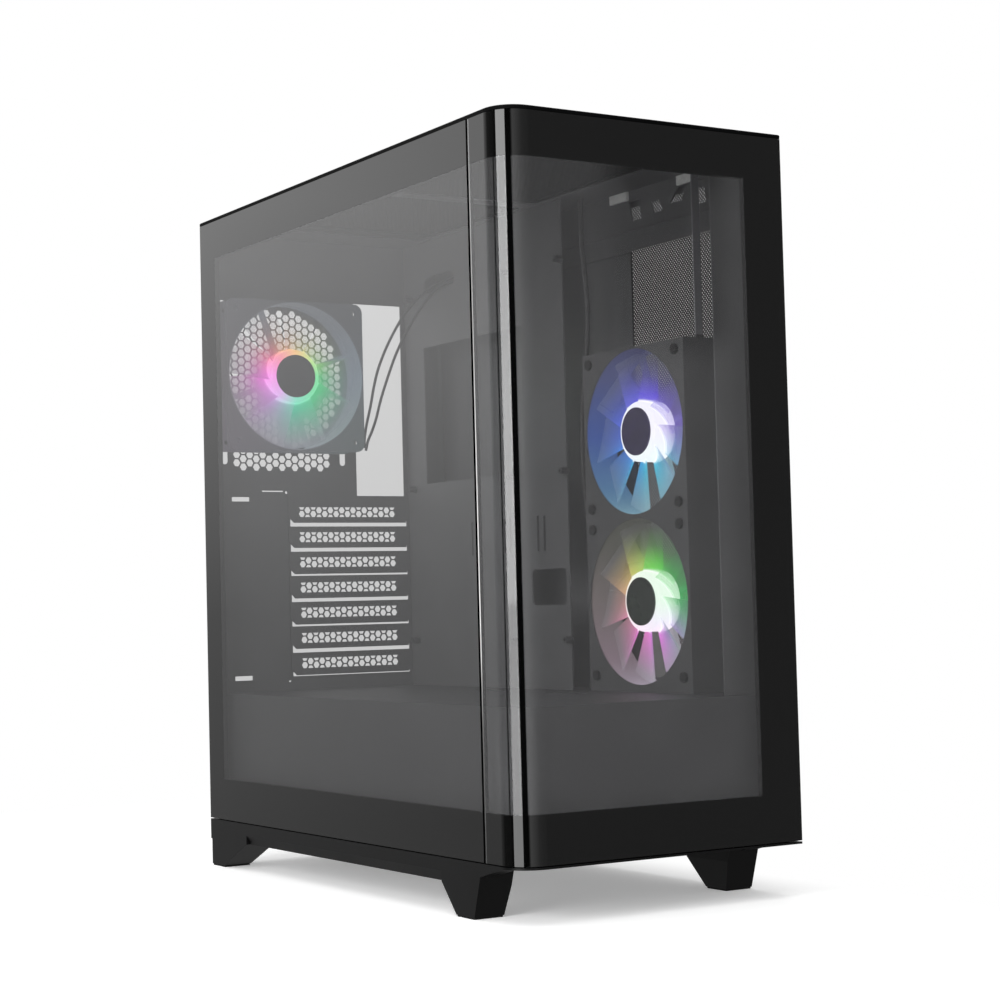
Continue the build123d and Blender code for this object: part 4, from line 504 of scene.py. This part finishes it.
# %% Finishes onto the CAD nodes
slot_finish = {
    "steel_black": powder_coat_painted_light, "steel_panel": panel_coat_painted_light_inside, "glass_smoked": side_pane,
    "plastic_black": moulded_black, "plastic_gloss": polished_black, "rubber_black": foot_rubber,
    "blade_frosted": blades["rear"], "mesh_black": punched_steel, "screw_black": black_zinc,
    "clip_pale": pale_nylon, "standoff_black": coated_screw_painted_light, "port_steel": plated_steel,
    "board_green": board_lacquer, "cable_black": cable_sheath, "motor_dark": motor_lacquer,
}
own_finish = {
    "front_glass": front_pane, "psu_shroud": shroud_coat_painted_shade, "fan_screws": dark_screw,
    "top_filter_mesh": woven_black, "psu_filter_mesh": woven_black, "top_cover": cover_black,
    "fan_bracket": bracket_coat_painted_light,
}
for fan in blades:
    own_finish[f"{fan}_fan_impeller"] = blades[fan]
    own_finish[f"{fan}_fan_frame"] = frames[fan]
    own_finish[f"{fan}_fan_hub_cap"] = caps[fan]
for piece in cad_nodes:
    slot_name = piece.data.materials[0].name.split(".")[0]
    piece.data.materials[0] = own_finish.get(piece.name, slot_finish[slot_name])
print("finished", len(cad_nodes), "nodes")

# %% [markdown]
# The side panel, the top filter and the power supply's filter are punched all over with small
# holes. In the solids they are plain thin sheets. Cutting thousands of holes one by one would
# take hours. A real sheet is punched by stepping one tool, and here it is the same: one cell with
# a hole is modelled, doubled with half a step for the stagger, arrayed both ways, and trimmed to
# the field. The side panel's fine field has four-sided cells on their corners, because these need
# the fewest faces for a hole. The filters have six-sided ones.

# %% A punched sheet from one cell
def alone():
    """Leave edit mode and deselect everything, so that an operator touches only what comes next."""
    if bpy.context.object and bpy.context.object.mode != "OBJECT":
        bpy.ops.object.mode_set(mode="OBJECT")
    bpy.ops.object.select_all(action="DESELECT")


def punched_sheet(name, width, length, sides, pitch, web, thickness, finish):
    """A flat sheet in the XY plane round the origin, with a staggered field of holes."""
    alone()
    across, row = {4: (pitch, pitch / 2), 6: (pitch * 2 / math.sqrt(3), pitch * math.sqrt(3) / 2)}[sides]
    bpy.ops.mesh.primitive_circle_add(vertices=sides, radius=across / 2, fill_type="NGON")
    sheet = bpy.context.object
    sheet.name = sheet.data.name = name
    bpy.ops.object.mode_set(mode="EDIT")
    bpy.ops.mesh.select_all(action="SELECT")
    bpy.ops.mesh.inset(thickness=web / 2)
    bpy.ops.mesh.delete(type="FACE")
    bpy.ops.mesh.select_all(action="SELECT")
    bpy.ops.mesh.duplicate_move(TRANSFORM_OT_translate={"value": (pitch / 2, row, 0)})
    bpy.ops.object.mode_set(mode="OBJECT")
    columns = int(width / pitch) + 3
    pairs = int(length / row / 2) + 3
    for count, step in ((columns, (pitch, 0, 0)), (pairs, (0, 2 * row, 0))):
        array = sheet.modifiers.new("steps", "ARRAY")
        array.count = count
        array.use_relative_offset = False
        array.use_constant_offset = True
        array.constant_offset_displace = step
        bpy.ops.object.modifier_apply(modifier=array.name)
    bpy.ops.object.mode_set(mode="EDIT")
    bpy.ops.mesh.select_all(action="SELECT")
    bpy.ops.mesh.remove_doubles(threshold=pitch / 100)
    bpy.ops.transform.translate(value=(-(columns - 0.5) * pitch / 2, -(pairs - 0.5) * row, 0))
    trims = (((1, 0, 0), width), ((-1, 0, 0), width), ((0, 1, 0), length), ((0, -1, 0), length))
    for normal, reach in trims:
        bpy.ops.mesh.select_all(action="SELECT")
        edge = tuple(reach / 2 * n for n in normal)
        bpy.ops.mesh.bisect(plane_co=edge, plane_no=normal, clear_outer=True)
    bpy.ops.object.mode_set(mode="OBJECT")
    gauge = sheet.modifiers.new("gauge", "SOLIDIFY")
    gauge.thickness = thickness
    gauge.offset = 0.0
    bpy.ops.object.modifier_apply(modifier=gauge.name)
    sheet.data.materials.append(finish)
    return sheet


def set_down(piece, place, turn=(0.0, 0.0, 0.0)):
    """Turn a finished piece and put it in its place, then make that place part of its mesh."""
    alone()
    piece.select_set(True)
    bpy.context.view_layer.objects.active = piece
    piece.rotation_euler = turn
    piece.location = place
    bpy.ops.object.transform_apply(location=True, rotation=True, scale=True)


SIDE_PITCH, SIDE_WEB, SIDE_GAUGE = 2.9 * MM, 1.0 * MM, 0.35 * MM
low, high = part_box("side_mesh")
side_sheet = punched_sheet("punched_side_sheet", high[1] - low[1], high[2] - low[2], 4,
                           SIDE_PITCH, SIDE_WEB, SIDE_GAUGE, punched_steel)
set_down(side_sheet, middle("side_mesh"), (math.pi / 2, 0.0, math.pi / 2))
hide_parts("side_mesh")
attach(side_sheet, "steel_side_panel")
print(side_sheet.name, "has", len(side_sheet.data.polygons), "faces")

# %% [markdown]
# The two filters are the same kind of sheet, only lying flat, with wider holes in a thicker gauge.

# %% Filter sheets
FILTER_PITCH, FILTER_WEB, FILTER_GAUGE = 4.0 * MM, 2.6 * MM, 0.5 * MM
for node, body, name in (("top_filter_mesh", "top_filter", "punched_top_filter"),
                         ("psu_filter_mesh", "psu_filter", "punched_psu_filter")):
    low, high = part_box(node)
    filter_sheet = punched_sheet(name, high[0] - low[0], high[1] - low[1], 6,
                                 FILTER_PITCH, FILTER_WEB, FILTER_GAUGE, woven_black)
    set_down(filter_sheet, middle(node))
    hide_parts(node)
    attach(filter_sheet, body)
    print(filter_sheet.name, "has", len(filter_sheet.data.polygons), "faces")

# %% [markdown]
# The tower stands on a white studio floor that runs on into a white wall. The floor keeps the
# soft shadow under the case. Paper that is lit from behind as well as from above stays white to
# the edge of the picture, so it glows a little for the camera, and more with the distance from
# the tower. On the right the lamps' long shadow would fall, and there it glows from the tower's
# side on. The glass doesn't mirror it: there the studio's dim cards run on below.

# %% Studio floor
FLOOR_SIZE = 16.0
GLOW_START, GLOW_FULL = 0.3, 0.8
right_side = cad_box[1][0]
alone()
bpy.ops.mesh.primitive_plane_add(size=FLOOR_SIZE)
floor = bpy.context.object
floor.name = floor.data.name = "studio_floor"
bpy.ops.object.mode_set(mode="EDIT")
bpy.ops.mesh.subdivide(number_cuts=3)
bpy.ops.object.mode_set(mode="OBJECT")
paper, tree, output, place = empty_material("studio_paper")
fibres = add_node(tree, "ShaderNodeTexNoise", values={"Scale": 1 / (300 * MM)}, links={"Vector": place})
paper_colour = stops(add_node(tree, "ShaderNodeValToRGB", links={"Fac": fibres.outputs["Fac"]}),
                     [(0.3, linear("#f6f6f6")), (0.7, linear("#fafafa"))])
matt = add_node(tree, "ShaderNodeBsdfDiffuse", links={"Color": paper_colour})
away = add_node(tree, "ShaderNodeVectorMath", {"operation": "LENGTH"}, links={0: place}).outputs["Value"]
back_light = add_node(tree, "ShaderNodeMapRange", values={"From Min": GLOW_START, "From Max": GLOW_FULL},
                      links={"Value": away})
to_right = add_node(tree, "ShaderNodeSeparateXYZ", links={"Vector": place}).outputs["X"]
right_light = add_node(tree, "ShaderNodeMapRange", {"interpolation_type": "SMOOTHSTEP"},
                       {"From Min": right_side - 10 * MM, "From Max": right_side + 60 * MM},
                       {"Value": to_right})
glow = add_node(tree, "ShaderNodeMath", {"operation": "MAXIMUM"},
                links={0: back_light.outputs["Result"], 1: right_light.outputs["Result"]})
rays = add_node(tree, "ShaderNodeLightPath").outputs
for_camera = add_node(tree, "ShaderNodeMath", {"operation": "MULTIPLY"},
                      links={0: rays["Is Camera Ray"], 1: glow.outputs[0]})
faint = add_node(tree, "ShaderNodeMath", {"operation": "MULTIPLY"}, {1: 0.3}, {0: rays["Is Camera Ray"]})
near_glow = add_node(tree, "ShaderNodeEmission", values={"Color": linear("#ffffff")},
                     links={"Strength": faint.outputs[0]})
near_paper = add_node(tree, "ShaderNodeAddShader",
                      links={0: matt.outputs["BSDF"], 1: near_glow.outputs["Emission"]})
far_paper = add_node(tree, "ShaderNodeEmission", values={"Color": linear("#ffffff"), "Strength": 1.0})
white_paper = add_node(tree, "ShaderNodeMixShader", links={
    "Fac": for_camera.outputs[0], 1: near_paper.outputs["Shader"], 2: far_paper.outputs["Emission"]})
tree.links.new(white_paper.outputs["Shader"], output.inputs["Surface"])
floor.visible_glossy = False
floor.data.materials.append(paper)
print("floor is", floor.dimensions[0], "m across")

# %% [markdown]
# The studio round the tower: a white wall for the camera, an even soft light for everything, and
# for the glass a set of cards. A bright wall behind to the left lights the side pane from the top
# down, black flags on both sides of the lamp draw the dark lines along the bent corner, and the
# front pane looks into a dim room.

# %% Studio walls
world = bpy.data.worlds.new("studio")
bpy.context.scene.world = world
world.use_nodes = True
tree = world.node_tree
tree.nodes.clear()
around = add_node(tree, "ShaderNodeTexCoord").outputs["Generated"]
# The bearings of the cards, in degrees, start and end here
START = 30.0
turned = add_node(tree, "ShaderNodeMapping", {"vector_type": "VECTOR"},
                  {"Rotation": (0.0, 0.0, math.radians(-180.0 - START))}, {"Vector": around})
bearing = add_node(tree, "ShaderNodeTexGradient", {"gradient_type": "RADIAL"},
                   links={"Vector": turned.outputs["Vector"]})
cards = [(30, 0.45), (60, 0.75), (110, 1.0), (126, 1.0), (140, 0.1), (172, 0.04), (176, 0.0), (236, 0.0),
         (243, 0.72), (275, 0.29), (303, 0.18), (330, 0.12), (360, 0.25), (389, 0.45)]
card_tone = stops(add_node(tree, "ShaderNodeValToRGB", links={"Fac": bearing.outputs["Fac"]}),
                  [((angle - START) / 360, grey(tone)) for angle, tone in cards])
height = add_node(tree, "ShaderNodeSeparateXYZ", links={"Vector": around}).outputs["Z"]
rise = add_node(tree, "ShaderNodeMapRange", values={"From Min": -0.2, "From Max": 0.4},
                links={"Value": height})
levels = [(0.17, 0.26), (0.333, 0.36), (0.65, 1.0), (1.0, 1.0)]
card_light = stops(add_node(tree, "ShaderNodeValToRGB", links={"Fac": rise.outputs["Result"]}),
                   [(at, grey(tone)) for at, tone in levels])
falls_off = stops(add_node(tree, "ShaderNodeValToRGB", links={"Fac": bearing.outputs["Fac"]}),
                  [(0.0, grey(0.3)), (0.08, WHITE), (0.28, WHITE), (0.4, BLACK), (0.9, BLACK),
                   (1.0, grey(0.3))])
card = add_node(tree, "ShaderNodeMix", {"data_type": "RGBA", "blend_type": "MULTIPLY"},
                links={"Factor": falls_off, "A": card_tone, "B": card_light})
mirrored = add_node(tree, "ShaderNodeBackground", values={"Strength": 1.5},
                    links={"Color": card.outputs["Result"]})
even = add_node(tree, "ShaderNodeBackground", values={"Color": WHITE, "Strength": 0.55})
wall = add_node(tree, "ShaderNodeBackground", values={"Color": WHITE, "Strength": 1.0})
rays = add_node(tree, "ShaderNodeLightPath").outputs
lit = add_node(tree, "ShaderNodeMixShader", links={
    "Fac": rays["Is Glossy Ray"], 1: even.outputs["Background"], 2: mirrored.outputs["Background"]})
direct = add_node(tree, "ShaderNodeMath", {"operation": "MAXIMUM"},
                  links={0: rays["Is Camera Ray"], 1: rays["Is Transmission Ray"]})
studio = add_node(tree, "ShaderNodeMixShader", links={
    "Fac": direct.outputs[0], 1: lit.outputs["Shader"], 2: wall.outputs["Background"]})
add_node(tree, "ShaderNodeOutputWorld", links={"Surface": studio.outputs["Shader"]})
print("studio cards:", len(cards))

# %% [markdown]
# Two kinds of lamp are enough for a plain product picture: a tall softbox on the left, which
# draws the bright line down the bent corner, and a broad one overhead, which makes the soft
# shadow. The line fades towards the floor, so the tall box is in two parts, a strong one over a
# weak one.

# %% Lamps
def softbox(name, place, aim, width, tall, power):
    """A rectangular lamp that faces a point."""
    lamp = bpy.data.lights.new(name, "AREA")
    lamp.shape = "RECTANGLE"
    lamp.size, lamp.size_y, lamp.energy = width, tall, power
    holder = bpy.data.objects.new(name, lamp)
    bpy.context.scene.collection.objects.link(holder)
    holder.location = place
    holder.rotation_euler = (Vector(aim) - Vector(place)).to_track_quat("-Z", "Y").to_euler()
    return holder


HIGH_BOX, LOW_BOX = 0.725, -0.075
side_lamp = softbox("side_softbox", (-1.53, -0.69, HIGH_BOX), (-0.1, -0.21, HIGH_BOX), 0.95, 1.05, 22.5)
low_lamp = softbox("low_softbox", (-1.53, -0.69, LOW_BOX), (-0.1, -0.21, LOW_BOX), 0.95, 0.55, 7.5)
top_lamp = softbox("overhead_softbox", (-0.3, 0.1, 2.3), (0.0, 0.0, 0.2), 2.4, 2.4, 24.0)
# The corner should mirror the tall lamp, but the inside stays dim
side_lamp.data.diffuse_factor = low_lamp.data.diffuse_factor = 0.4
print("lamps:", side_lamp.name, low_lamp.name, top_lamp.name)

# %% [markdown]
# The camera stands low in front of the bent corner and looks slightly up, a little tilted. Its
# place and lens were worked out from the tower's own straight edges, so the picture lines up
# with the drawing.

# %% Camera
EYE = (-0.804, -1.33725, 0.1941)
FOCAL_LENGTH = 77.245
yaw, pitch, roll = math.radians(31.81), math.radians(2.9), math.radians(-1.48)
ahead = Vector((math.sin(yaw) * math.cos(pitch), math.cos(yaw) * math.cos(pitch), math.sin(pitch)))
right = Vector((math.cos(yaw), -math.sin(yaw), 0.0))
upward = right.cross(ahead)
tilted_right = math.cos(roll) * right + math.sin(roll) * upward
tilted_up = -math.sin(roll) * right + math.cos(roll) * upward
lens = bpy.data.cameras.new("camera")
lens.lens = FOCAL_LENGTH
lens.sensor_width = 36.0
camera = bpy.data.objects.new("camera", lens)
bpy.context.scene.collection.objects.link(camera)
stand = Matrix((tilted_right, tilted_up, -ahead)).transposed().to_4x4()
stand.translation = EYE
camera.matrix_world = stand
bpy.context.scene.camera = camera
bpy.context.scene.view_settings.view_transform = "Standard"
print("camera is", round(stand.translation.length, 2), "m from the tower's foot")

# %% [markdown]

# %% End
print("scene ready")
